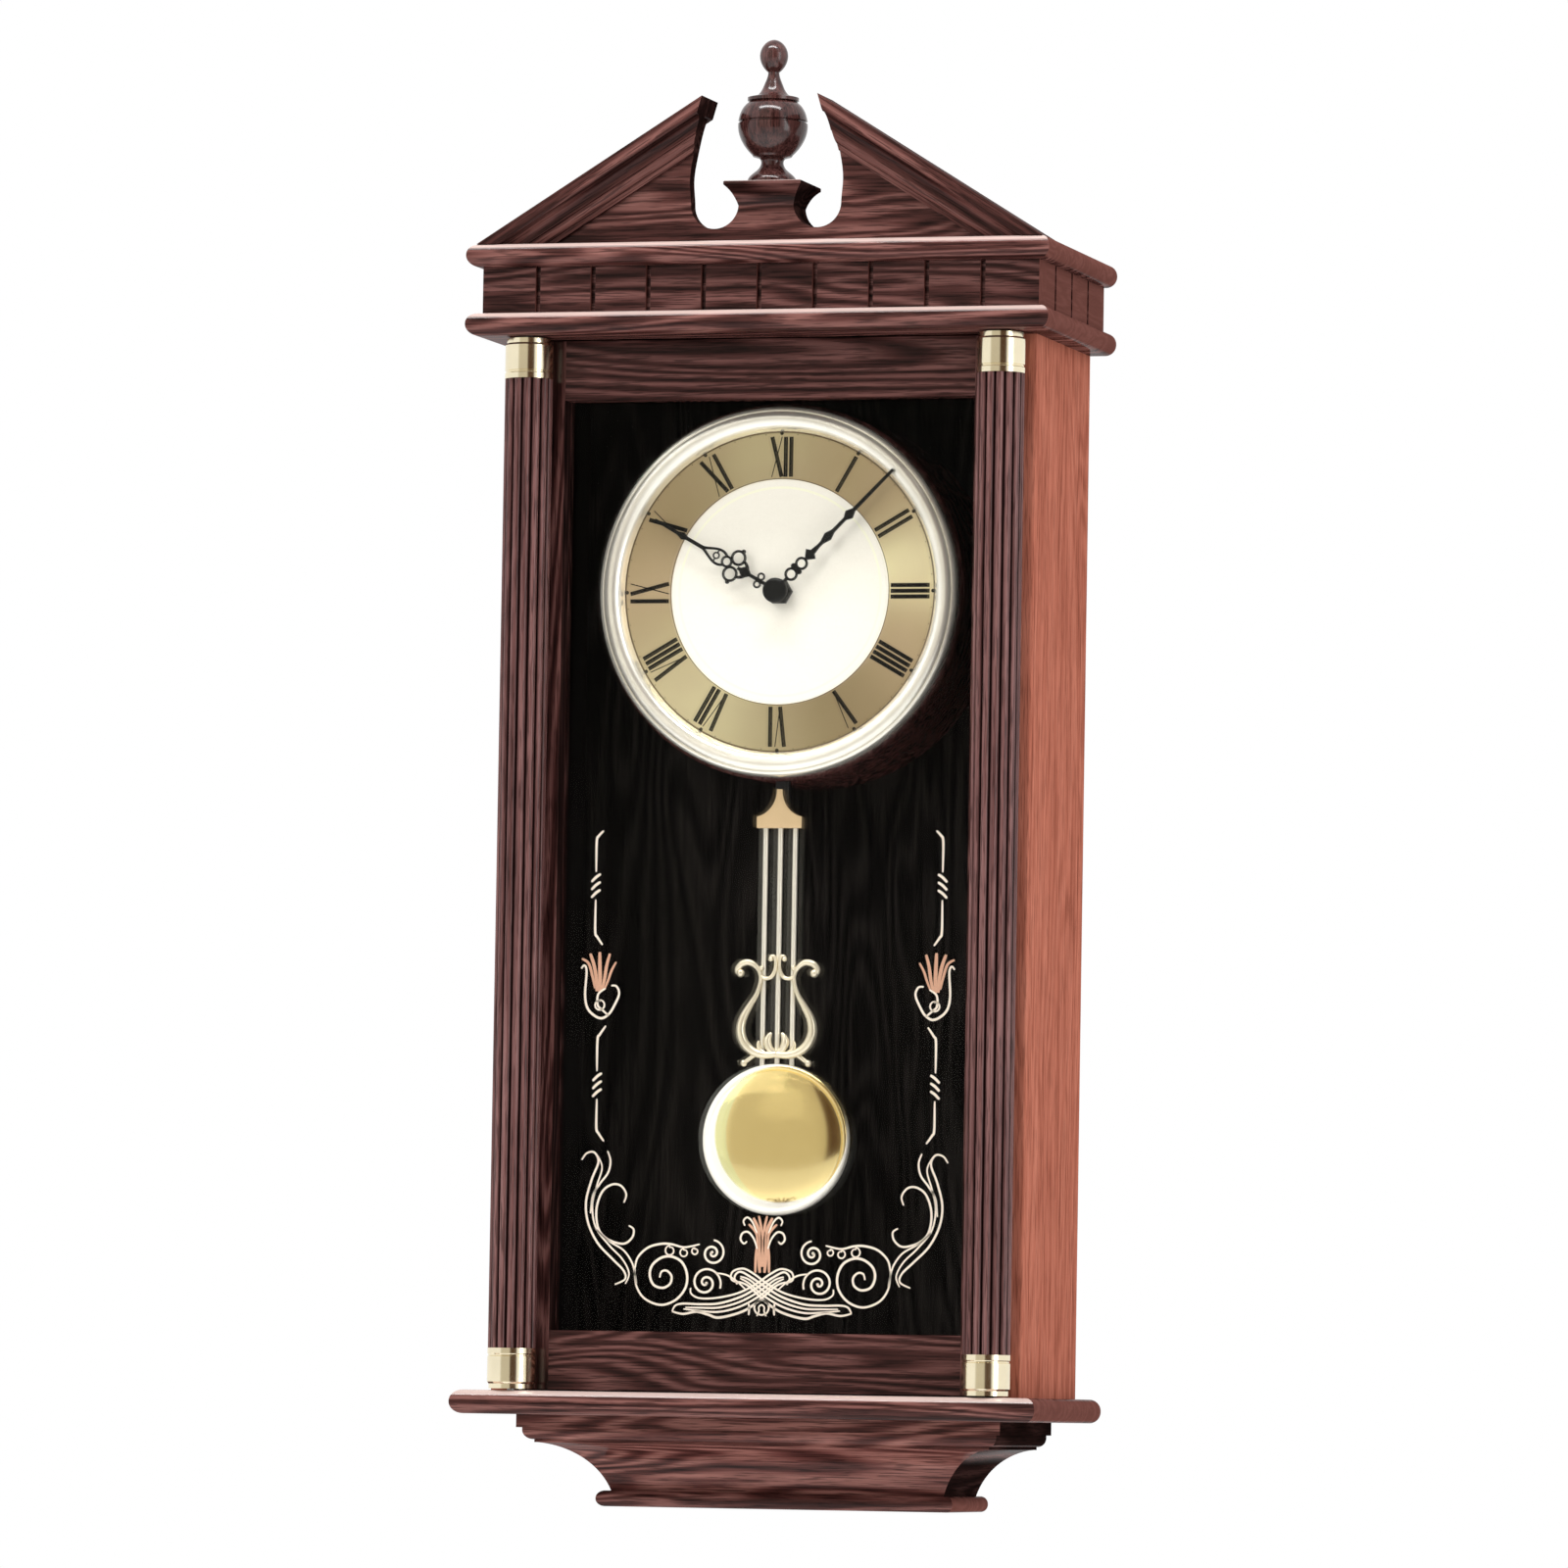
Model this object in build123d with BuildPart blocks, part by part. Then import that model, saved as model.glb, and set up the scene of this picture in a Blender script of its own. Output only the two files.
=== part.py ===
"""Schoolhouse wall clock with a pendulum: an oak case on a coved base, a broken pediment with an urn
finial, a pivoted glass door with reeded columns, and a quartz movement with its motion work behind a
round dial.

Millimetres. +X is to the viewer's right, the front faces -Y, +Z is up. The origin is the centre of the
keyhole that the wall hook goes through, on the plane of the wall (Y = 0)."""

import os
from math import cos, degrees, hypot, pi, radians, sin, tan

from build123d import *

# ---- driving dimensions ------------------------------------------------------------------------------
hook_height = 568.0  # keyhole above the underside of the foot


def level(height):
    """Z of a height above the underside of the foot."""
    return height - hook_height


# case
foot_half, foot_depth, foot_top = 93.8, 70.4, 8.0
cove_half, cove_depth, cove_top = 87.5, 64.0, 46.0  # at the cove's lower edge
cove_wall = 16.0
shelf_half, shelf_depth, shelf_top = 152.3, 135.0, 58.0
case_half, case_depth, side_thickness = 138.8, 108.5, 14.8
case_top = 591.0
panel_rabbet, panel_thickness, panel_inset = 4.0, 4.0, 8.0
cornice_half, cornice_depth, cornice_thickness = 152.5, 140.0, 11.5
frieze_half, frieze_depth, frieze_height, frieze_thickness = 145.6, 132.2, 23.5, 14.0
front_blocks, return_blocks = 10, 4
groove_width, groove_depth = 2.6, 2.8

# pediment
pediment_bottom = case_top + 2 * cornice_thickness + frieze_height
rake_angle = 31.96
rake_foot, rake_peak = 148.0, 30.2  # X of the rake's two ends
rake_cap, rake_depth, rake_back, end_lean = 6.0, 19.0, 108.0, 16.5
board_back, board_front, neck_back = 114.0, 122.0, 99.0
notch_inner, notch_outer, notch_floor = 14.4, 39.4, 645.0
plinth_bottom, plinth_top, plinth_y = 656.5, 668.5, -111.5

# door
door_back, glass_front, glass_back = -92.5, -100.0, -97.0
door_half, opening_half, glass_rabbet = 121.6, 107.6, 5.0
door_gap = 0.8
opening_low, opening_high = 88.6, 560.0
column_x, column_y, column_radius, column_flat = 123.7, -121.3, 12.2, 10.8
reeds, reed_radius, shaft_core = 14, 2.1, 10.3
capital_height, capital_radius, capital_core = 20.4, 12.3, 9.8
pin_radius, pin_clearance, pin_board, pin_column = 2.0, 0.05, 8.0, 7.0
door_front = column_y + column_flat

# dial and hands
dial_z = level(464.0)
drum_radius, drum_wall, drum_front, drum_flange = 96.0, 4.0, -84.0, 86.0
bezel_radius, dial_radius, chapter_radius, centre_radius = 94.3, 93.4, 81.6, 57.3
plate_front, chapter_front = -85.0, -85.6
minute_length, hour_length = 86.0, 74.5
minute_angle, hour_angle = 45.0, 299.5  # degrees clockwise from twelve

# movement
box_half, box_low, box_high = 58.0, -50.0, 60.0  # about the dial's centre
box_front, box_back, box_wall = -84.0, -18.0, 2.0
cover_back = -16.0
running = 0.06  # radial clearance of a shaft in its bearing
train_module, wheel_module, motion_module = 0.5, 0.625, 0.6
drive_teeth, centre_teeth = 8, 64
cannon_teeth, motion_teeth, motion_pinion_teeth, hour_teeth = 12, 36, 10, 40
motion_distance = wheel_module * (cannon_teeth + motion_teeth) / 2
drive_distance = train_module * (drive_teeth + centre_teeth) / 2
setting_direction = -50.0  # degrees, from the motion wheel to the setting pinion
motion_x = motion_distance
setting_x = motion_x + motion_distance * cos(radians(setting_direction))
setting_z = motion_distance * sin(radians(setting_direction))
control_z = -11.5

# pendulum
pivot_z = dial_z - 70.0
rod_y, rod_radius, rod_spacing = -76.0, 1.35, 7.8
lever_front, lever_back = -74.3, -71.5
header_top, header_bottom = 361.5, 344.4
bob_z, bob_radius = level(186.7), 38.3

os.makedirs("parts", exist_ok=True)


def save(piece, name):
    """Labels a finished piece and writes its STEP file."""
    piece.part.label = name
    export_step(piece.part, f"parts/{name}.step")


def facing(y, x=0.0, z=0.0):
    """Plane at depth y that faces the front: local x to the right, local y up."""
    return Plane(origin=(x, y, z), x_dir=(1, 0, 0), z_dir=(0, -1, 0))


def lying(z, x=0.0, y=0.0):
    """Horizontal plane at height z: local x to the right, local y to the back."""
    return Plane(origin=(x, y, z), x_dir=(1, 0, 0), z_dir=(0, 0, 1))


def block(x_low, x_high, y_low, y_high, z_low, z_high, mode=Mode.ADD):
    """Adds (or cuts) a rectangular block between the given limits in the part being built."""
    centre = ((x_low + x_high) / 2, (y_low + y_high) / 2, (z_low + z_high) / 2)
    with Locations(centre):
        Box(x_high - x_low, y_high - y_low, z_high - z_low, mode=mode)


def rod(plane, radius, length, mode=Mode.ADD):
    """Adds (or cuts) a cylinder that starts on a plane and runs along its normal."""
    with Locations(plane.location):
        Cylinder(radius, length, align=(Align.CENTER, Align.CENTER, Align.MIN), mode=mode)


# ---- base --------------------------------------------------------------------------------------------
def bullnose_board(half_width, depth, low, high):
    """Board with its back edge on the wall plane and half-round front and side edges."""
    with BuildPart() as board:
        block(-half_width, half_width, -depth, 0, level(low), level(high))
        front = board.edges().filter_by(Axis.X).sort_by(Axis.Y)[:2]
        sides = board.edges().filter_by(Axis.Y)
        fillet(front + sides, radius=0.49 * (high - low))
    return board


def drill_pin_hole(z, length):
    """Cuts the upright hole for a door pivot pin in the board being built."""
    rod(lying(z, -column_x, column_y), pin_radius, length, mode=Mode.SUBTRACT)


base_foot = bullnose_board(foot_half, foot_depth, 0, foot_top)
save(base_foot, "base_foot")


def cove_section(place):
    """Face of the base moulding. place turns (distance outwards, height) into a sketch point."""
    with BuildLine() as outline:
        Line(place(-cove_wall, foot_top), place(0, foot_top))
        ThreePointArc(place(0, foot_top), place(12.6, 25.2), place(30.0, 32.0))
        Polyline(place(30.0, 32.0), place(31.5, 32.0), place(31.5, 33.5))
        ThreePointArc(place(31.5, 33.5), place(35.1, 34.8), place(36.5, 38.0))
        Polyline(place(36.5, 38.0), place(36.5, 39.4), place(39.0, 39.4), place(39.0, cove_top))
        Polyline(place(39.0, cove_top), place(-cove_wall, cove_top), place(-cove_wall, foot_top))
    make_face(outline.edges())


def mitre(side):
    """Upright 45 degree plane through a front corner of the cove; its normal points to the return."""
    return Plane(origin=(side * cove_half, -cove_depth, 0), z_dir=(side, 1, 0))


with BuildPart() as base_cove_front:
    with BuildSketch(Plane.YZ):
        cove_section(lambda out, height: (-cove_depth - out, level(height)))
    extrude(amount=cove_half + 40, both=True)
    split(bisect_by=mitre(1), keep=Keep.BOTTOM)
    split(bisect_by=mitre(-1), keep=Keep.BOTTOM)
save(base_cove_front, "base_cove_front")

with BuildPart() as base_cove_returns:
    with BuildSketch(Plane.XZ):
        cove_section(lambda out, height: (cove_half + out, level(height)))
    extrude(amount=cove_depth + 40)
    split(bisect_by=mitre(1), keep=Keep.TOP)
    mirror(about=Plane.YZ)
save(base_cove_returns, "base_cove_returns")

base_shelf = bullnose_board(shelf_half, shelf_depth, cove_top, shelf_top)
with base_shelf:
    drill_pin_hole(level(shelf_top) - pin_board, pin_board)
save(base_shelf, "base_shelf")


# ---- case --------------------------------------------------------------------------------------------
side_inner = case_half - side_thickness
back_front, back_rear = -panel_inset - panel_thickness, -panel_inset


def side_panel(side):
    """Side of the case with a rounded front edge and a groove for the back panel."""
    with BuildPart() as panel:
        block(side_inner, case_half, -case_depth, 0, level(shelf_top), level(case_top))
        fillet(panel.edges().filter_by(Axis.Z).sort_by(Axis.Y)[:2], radius=1.6)
        low, high = level(shelf_top), level(case_top)
        groove_end = side_inner + panel_rabbet
        block(side_inner, groove_end, back_front, back_rear, low, high, mode=Mode.SUBTRACT)
        if side < 0:
            mirror(about=Plane.YZ, mode=Mode.REPLACE)
    return panel


save(side_panel(-1), "side_panel_left")
save(side_panel(1), "side_panel_right")

service_half, service_low, service_high = 56.0, dial_z - 52.0, dial_z + 52.0
back_half = side_inner + panel_rabbet

with BuildPart() as back_panel:
    block(-back_half, back_half, back_front, back_rear, level(shelf_top), level(case_top))
    block(-service_half, service_half, back_front, back_rear, service_low, service_high, mode=Mode.SUBTRACT)
save(back_panel, "back_panel")

rail_low = level(552.0)
plate_half, plate_low, plate_high, plate_thickness = 23.0, -10.0, 18.0, 1.5
screw_x, screw_z, screw_radius, screw_head = 18.0, 4.0, 1.3, 2.7

with BuildPart() as hanging_rail:
    block(-side_inner, side_inner, back_rear, 0, rail_low, level(case_top))
    block(-plate_half, plate_half, -plate_thickness, 0, plate_low, plate_high, mode=Mode.SUBTRACT)
    block(-9, 9, back_rear, -plate_thickness, -8, 15.5, mode=Mode.SUBTRACT)
    with Locations((-screw_x, -4.5, screw_z), (screw_x, -4.5, screw_z)):
        Cylinder(screw_radius, 6, rotation=(90, 0, 0), mode=Mode.SUBTRACT)
save(hanging_rail, "hanging_rail")


def screw_profile(low):
    """Half section of a countersunk screw, or of its hole, from depth low up to the wall plane."""
    with BuildLine() as outline:
        Polyline((0, 0), (screw_head, 0), (screw_radius, low), (0, low), (0, 0))
    make_face(outline.edges())


with BuildPart() as hanger_plate:
    block(-plate_half, plate_half, -plate_thickness, 0, plate_low, plate_high)
    fillet(hanger_plate.edges().filter_by(Axis.Y), radius=2)
    rod(facing(0), 5.0, plate_thickness, mode=Mode.SUBTRACT)
    block(-2.25, 2.25, -plate_thickness, 0, 0, 11, mode=Mode.SUBTRACT)
    rod(facing(0, 0, 11), 2.25, plate_thickness, mode=Mode.SUBTRACT)
    for x in (-screw_x, screw_x):
        with BuildSketch(Plane(origin=(x, 0, screw_z), x_dir=(1, 0, 0), z_dir=(0, 0, 1))):
            screw_profile(-plate_thickness)
        revolve(axis=Axis((x, 0, screw_z), (0, 1, 0)), mode=Mode.SUBTRACT)
save(hanger_plate, "hanger_plate")

with BuildPart() as hanger_screws:
    for x in (-screw_x, screw_x):
        with BuildSketch(Plane(origin=(x, 0, screw_z), x_dir=(1, 0, 0), z_dir=(0, 0, 1))):
            screw_profile(-plate_thickness)
        revolve(axis=Axis((x, 0, screw_z), (0, 1, 0)))
        with Locations((x, -4.5, screw_z)):
            Cylinder(screw_radius, 6, rotation=(90, 0, 0))
        block(x - 1.6, x + 1.6, -0.6, 0, screw_z - 0.35, screw_z + 0.35, mode=Mode.SUBTRACT)
save(hanger_screws, "hanger_screws")

with BuildPart() as wall_bumpers:
    for x in (-112, 112):
        rod(facing(0, x, level(74)), 8, panel_inset)
save(wall_bumpers, "wall_bumpers")

# ---- cornice and pediment ----------------------------------------------------------------------------
frieze_low = case_top + cornice_thickness
frieze_high = frieze_low + frieze_height

lower_cornice = bullnose_board(cornice_half, cornice_depth, case_top, frieze_low)
with lower_cornice:
    drill_pin_hole(level(case_top), pin_board)
save(lower_cornice, "lower_cornice")

with BuildPart() as frieze_front:
    frieze_back = frieze_thickness - frieze_depth
    block(-frieze_half, frieze_half, -frieze_depth, frieze_back, level(frieze_low), level(frieze_high))
    for k in range(1, front_blocks):
        x = -frieze_half + 2 * frieze_half * k / front_blocks
        y = -frieze_depth + groove_depth
        half = groove_width / 2
        low, high = level(frieze_low), level(frieze_high)
        block(x - half, x + half, -frieze_depth, y, low, high, mode=Mode.SUBTRACT)
save(frieze_front, "frieze_front")

with BuildPart() as frieze_returns:
    inner = frieze_half - frieze_thickness
    block(inner, frieze_half, frieze_back, 0, level(frieze_low), level(frieze_high))
    for k in range(1, return_blocks):
        x = frieze_half - groove_depth
        y = -frieze_depth * k / return_blocks
        half = groove_width / 2
        block(x, frieze_half, y - half, y + half, level(frieze_low), level(frieze_high), mode=Mode.SUBTRACT)
    mirror(about=Plane.YZ)
save(frieze_returns, "frieze_returns")

upper_cornice = bullnose_board(cornice_half, cornice_depth, frieze_high, pediment_bottom)
save(upper_cornice, "upper_cornice")

slope = tan(radians(rake_angle))


def rake_height(x, below=0.0):
    """Z of the rake's outer line at a distance x from the middle, or of a line square below it."""
    return level(pediment_bottom) + (rake_foot - x) * slope - below / cos(radians(rake_angle))


with BuildPart() as pediment_board:
    board_end = rake_foot - rake_cap / sin(radians(rake_angle))
    bottom_z, floor_z, neck_z = level(pediment_bottom), level(notch_floor), level(plinth_bottom)
    wall_top = (33.6, rake_height(33.6, rake_cap))
    wall_foot, pocket = (notch_outer, floor_z + 12), (27.2, floor_z)
    with BuildSketch(facing(-board_back)):
        with BuildLine():
            Polyline((0, bottom_z), (board_end, bottom_z), wall_top)
            wall = [wall_top, (38.2, level(684)), (40.2, level(669)), wall_foot]
            Spline(*wall, tangents=((0.4, -1), (0, -1)))
            ThreePointArc(wall_foot, pocket, (notch_inner, neck_z))
            Polyline((notch_inner, neck_z), (0, neck_z), (0, bottom_z))
        make_face()
        mirror(about=Plane.YZ)
    extrude(amount=board_front - board_back)
    with BuildSketch(facing(-neck_back)):
        with BuildLine():
            Polyline((0, bottom_z), (27.2, bottom_z), pocket)
            ThreePointArc(pocket, (17.9, level(648.8)), (notch_inner, neck_z))
            Polyline((notch_inner, neck_z), (0, neck_z), (0, bottom_z))
        make_face()
        mirror(about=Plane.YZ)
    extrude(amount=board_front - neck_back)
save(pediment_board, "pediment_board")

rake_plane = Plane(
    origin=(rake_foot, 0, level(pediment_bottom)),
    x_dir=(0, -1, 0),
    z_dir=(-cos(radians(rake_angle)), 0, sin(radians(rake_angle))),
)
rake_end = Plane(
    origin=(rake_peak, 0, rake_height(rake_peak)),
    z_dir=(cos(radians(end_lean)), 0, sin(radians(end_lean))),
)

with BuildPart() as rake_mouldings:
    with BuildSketch(rake_plane):
        with BuildLine():
            Polyline((board_front, -6), (rake_back, -6), (rake_back, 0), (137, 0))
            Polyline((137, 0), (137, -5.4), (136.2, -6.2), (134.4, -6.2))
            ThreePointArc((134.4, -6.2), (130.6, -7.8), (129.4, -11.4))
            Polyline((129.4, -11.4), (129.4, -12.4), (128.2, -12.4))
            ThreePointArc((128.2, -12.4), (127.2, -15.2), (124.4, -16.6))
            Polyline((124.4, -16.6), (124.4, -rake_depth), (board_front, -rake_depth), (board_front, -6))
        make_face()
    extrude(amount=150)
    extrude(rake_mouldings.faces().sort_by(Axis.X)[-1], amount=30)
    split(bisect_by=rake_end, keep=Keep.TOP)
    split(bisect_by=lying(level(pediment_bottom)), keep=Keep.TOP)
    mirror(about=Plane.YZ)
save(rake_mouldings, "rake_mouldings")

crown_low, crown_middle, crown_high = level(plinth_bottom), level(661.5), level(666.5)

with BuildPart() as finial_plinth:
    with BuildSketch(lying(crown_low, 0, -110.5)):
        Rectangle(2 * notch_inner, 23)
    with BuildSketch(lying(crown_middle, 0, -110.8)):
        Rectangle(32.6, 28)
    with BuildSketch(lying(crown_high, 0, -111.0)):
        Rectangle(40.5, 38)
    loft()
    with BuildSketch(lying(crown_high, 0, -111.0)):
        Rectangle(40.5, 38)
    extrude(amount=level(plinth_top) - crown_high)
    fillet(finial_plinth.faces().sort_by(Axis.Z)[-1].edges(), radius=0.8)
save(finial_plinth, "finial_plinth")

with BuildPart() as finial:
    with BuildSketch(Plane(origin=(0, plinth_y, level(plinth_top)), x_dir=(1, 0, 0), z_dir=(0, -1, 0))):
        with BuildLine():
            Polyline((0, 0), (12.5, 0), (12.5, 1.6))
            Spline((12.5, 1.6), (10.0, 5.0), (6.5, 8.3), (5.7, 11.2), (6.6, 12.9))
            Polyline((6.6, 12.9), (9.8, 13.8), (10.4, 14.8))
            Spline((10.4, 14.8), (14.8, 20.1), (17.0, 25.0), (17.6, 30.6))
            Polyline((17.6, 30.6), (16.7, 31.0), (16.7, 31.6), (17.5, 32.0))
            Spline((17.5, 32.0), (16.5, 36.0), (14.5, 39.5), (11.8, 41.7))
            Polyline((11.8, 41.7), (13.0, 42.2), (13.0, 43.8), (8.2, 45.0))
            Spline((8.2, 45.0), (6.0, 47.6), (4.5, 51.0), (3.2, 54.4), (2.8, 56.8))
            Spline((2.8, 56.8), (6.0, 60.6), (7.15, 65.4), (5.4, 70.4), (0, 73.5))
            Line((0, 73.5), (0, 0))
        make_face()
    revolve(axis=Axis((0, plinth_y, 0), (0, 0, 1)))
save(finial, "finial")


# ---- door --------------------------------------------------------------------------------------------
door_low, door_high = shelf_top + door_gap, case_top - door_gap
rabbet_half = opening_half + glass_rabbet
rabbet_low, rabbet_high = opening_low - glass_rabbet, opening_high + glass_rabbet


def door_stile(side):
    """Upright of the door frame, rabbeted behind for the glass."""
    with BuildPart() as stile:
        block(opening_half, door_half, door_front, door_back, level(door_low), level(door_high))
        low, high = level(rabbet_low), level(rabbet_high)
        block(opening_half, rabbet_half, glass_front, door_back, low, high, mode=Mode.SUBTRACT)
        if side < 0:
            mirror(about=Plane.YZ, mode=Mode.REPLACE)
    return stile


save(door_stile(-1), "door_stile_left")
save(door_stile(1), "door_stile_right")

with BuildPart() as door_rails:
    for low, high in ((opening_high, door_high), (door_low, opening_low)):
        block(-opening_half, opening_half, door_front, door_back, level(low), level(high))
    low, high = level(rabbet_low), level(rabbet_high)
    block(-opening_half, opening_half, glass_front, door_back, low, high, mode=Mode.SUBTRACT)
save(door_rails, "door_rails")

with BuildPart() as door_glass:
    half = rabbet_half - 0.5
    block(-half, half, glass_front, glass_back, level(rabbet_low + 0.5), level(rabbet_high - 0.5))
save(door_glass, "door_glass")

with BuildPart() as glass_retainers:
    block(-rabbet_half, rabbet_half, glass_back, door_back, level(rabbet_low), level(rabbet_high))
    strip = 4.5
    half = rabbet_half - strip
    low, high = level(rabbet_low + strip), level(rabbet_high - strip)
    block(-half, half, glass_back, door_back, low, high, mode=Mode.SUBTRACT)
save(glass_retainers, "glass_retainers")

flat_cut = Plane(origin=(0, door_front, 0), z_dir=(0, -1, 0))


def column(side):
    """Reeded quarter column with plain ends for its caps and a flat that is glued to the stile."""
    with BuildPart() as post:
        with BuildSketch(lying(level(door_low + capital_height), side * column_x, column_y)):
            Circle(shaft_core)
            with PolarLocations(column_radius - reed_radius, reeds):
                Circle(reed_radius)
        extrude(amount=door_high - door_low - 2 * capital_height)
        for low in (door_low + 1, door_high - capital_height):
            rod(lying(level(low), side * column_x, column_y), capital_core, capital_height - 1)
        split(bisect_by=flat_cut, keep=Keep.TOP)
        if side < 0:
            for low in (door_low + 1, door_high - pin_column - 1):
                radius = pin_radius + pin_clearance
                rod(lying(level(low), -column_x, column_y), radius, pin_column, mode=Mode.SUBTRACT)
    return post


save(column(-1), "column_left")
save(column(1), "column_right")


def capital_section(end, direction):
    """Half section of a column cap. end is its outer end's height, direction points to the shaft."""
    corners = [
        (pin_radius + 0.5, 0), (11.5, 0), (11.5, 2.4), (capital_radius, 3.4), (capital_radius, 16.2),
        (11.9, 16.5), (11.9, 17.1), (capital_radius, 17.6), (capital_radius, capital_height),
        (capital_core, capital_height), (capital_core, 1), (pin_radius + 0.5, 1), (pin_radius + 0.5, 0),
    ]
    with BuildLine() as outline:
        Polyline(*[(radius, level(end + direction * z)) for radius, z in corners])
    make_face(outline.edges())


with BuildPart() as column_caps:
    for x in (-column_x, column_x):
        for end, direction in ((door_low, 1), (door_high, -1)):
            with BuildSketch(Plane(origin=(x, column_y, 0), x_dir=(1, 0, 0), z_dir=(0, -1, 0))):
                capital_section(end, direction)
            revolve(axis=Axis((x, column_y, 0), (0, 0, 1)))
    split(bisect_by=flat_cut, keep=Keep.TOP)
save(column_caps, "column_caps")

with BuildPart() as door_pivot_pins:
    for low in (shelf_top - pin_board, door_high - pin_column + 0.5):
        length = pin_board + door_gap + pin_column - 0.5
        rod(lying(level(low), -column_x, column_y), pin_radius, length)
    fillet(door_pivot_pins.edges().filter_by(GeomType.CIRCLE), radius=0.4)
save(door_pivot_pins, "door_pivot_pins")

catch_z, strike_back = level(300), door_back + 1.0

with BuildPart() as strike_plate:
    block(rabbet_half + 1, door_half - 0.8, door_back, strike_back, catch_z - 9, catch_z + 9)
save(strike_plate, "strike_plate")

with BuildPart() as catch_magnet:
    block(side_inner - 12, side_inner, strike_back + 0.4, -79, catch_z - 10, catch_z + 10)
save(catch_magnet, "catch_magnet")

# ---- dial --------------------------------------------------------------------------------------------
with BuildPart() as dial_housing:
    rod(facing(back_front, 0, dial_z), drum_radius, back_front - drum_front)
    fillet(dial_housing.edges().filter_by(GeomType.CIRCLE).sort_by(Axis.Y)[0], radius=2.5)
    depth = back_front - drum_front
    rod(facing(back_front, 0, dial_z), drum_radius - drum_wall, depth - drum_wall, mode=Mode.SUBTRACT)
    rod(facing(back_front, 0, dial_z), drum_flange, depth, mode=Mode.SUBTRACT)
    block(-12, 12, -80, -64, dial_z - drum_radius, dial_z - 80, mode=Mode.SUBTRACT)
save(dial_housing, "dial_housing")

post_radius, post_front, post_bore = 5.0, -89.0, 3.1

with BuildPart() as dial_plate:
    rod(facing(box_front, 0, dial_z), dial_radius, box_front - plate_front)
    rod(facing(box_front, 0, dial_z), post_radius, box_front - plate_front, mode=Mode.SUBTRACT)
save(dial_plate, "dial_plate")

with BuildPart() as chapter_ring:
    rod(facing(plate_front, 0, dial_z), chapter_radius, plate_front - chapter_front)
    rod(facing(plate_front, 0, dial_z), centre_radius, plate_front - chapter_front, mode=Mode.SUBTRACT)
save(chapter_ring, "chapter_ring")

with BuildPart() as bezel:
    with BuildSketch(Plane(origin=(0, 0, dial_z), x_dir=(1, 0, 0), z_dir=(0, 0, 1))):
        with BuildLine():
            Polyline((dial_radius, box_front), (dial_radius, plate_front), (chapter_radius, plate_front))
            Polyline((chapter_radius, plate_front), (chapter_radius, -86.2), (82.5, -88.6))
            Spline((82.5, -88.6), (84.4, -91.4), (87.6, -92.6), (91.2, -91.2))
            Polyline((91.2, -91.2), (91.6, -90.6), (92.0, -90.9))
            Spline((92.0, -90.9), (93.1, -90.4), (94.0, -88.9), (bezel_radius, -87.0))
            Polyline((bezel_radius, -87.0), (bezel_radius, box_front), (dial_radius, box_front))
        make_face()
    revolve(axis=Axis((0, 0, dial_z), (0, 1, 0)))
save(bezel, "bezel")

with BuildPart() as dial_nut:
    with BuildSketch(facing(plate_front, 0, dial_z)):
        RegularPolygon(radius=6, side_count=6, major_radius=False)
        Circle(post_radius, mode=Mode.SUBTRACT)
    extrude(amount=2.2)
save(dial_nut, "dial_nut")


# ---- movement ----------------------------------------------------------------------------------------
def gear(teeth, module, phase, bore):
    """Sketches a wheel with flat-sided teeth, one of them at the angle phase, and a bore of flats."""
    pitch = teeth * module / 2
    tip, root = pitch + 0.8 * module, pitch - 1.15 * module
    half = degrees(0.4 * pi / teeth)
    corners = []
    for k in range(teeth):
        for radius, spread in ((root, -1.5), (tip, -0.5), (tip, 0.5), (root, 1.5)):
            angle = radians(phase + 360 * k / teeth + spread * half)
            corners.append((radius * cos(angle), radius * sin(angle)))
    Polygon(*corners, align=None)
    if bore:
        RegularPolygon(radius=bore, side_count=12, major_radius=False, mode=Mode.SUBTRACT)


def sleeve(outer, bore):
    """Sketches a twelve-sided tube whose flats touch the circle of the bore."""
    RegularPolygon(radius=outer, side_count=12)
    RegularPolygon(radius=bore, side_count=12, major_radius=False, mode=Mode.SUBTRACT)


arbor_radius, tube_radius, stud_radius = 1.6, post_bore - running, 1.2
drive_radius, setting_radius = 0.8, 1.5
bridge_front, bridge_back = -65.0, -63.0
cover_front = box_back
volume_x, selector_x, test_x = -32.0, -5.0, 42.0
box_bottom, box_top = dial_z + box_low, dial_z + box_high
tray_top = dial_z - 20.0
control_level = dial_z + control_z

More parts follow.
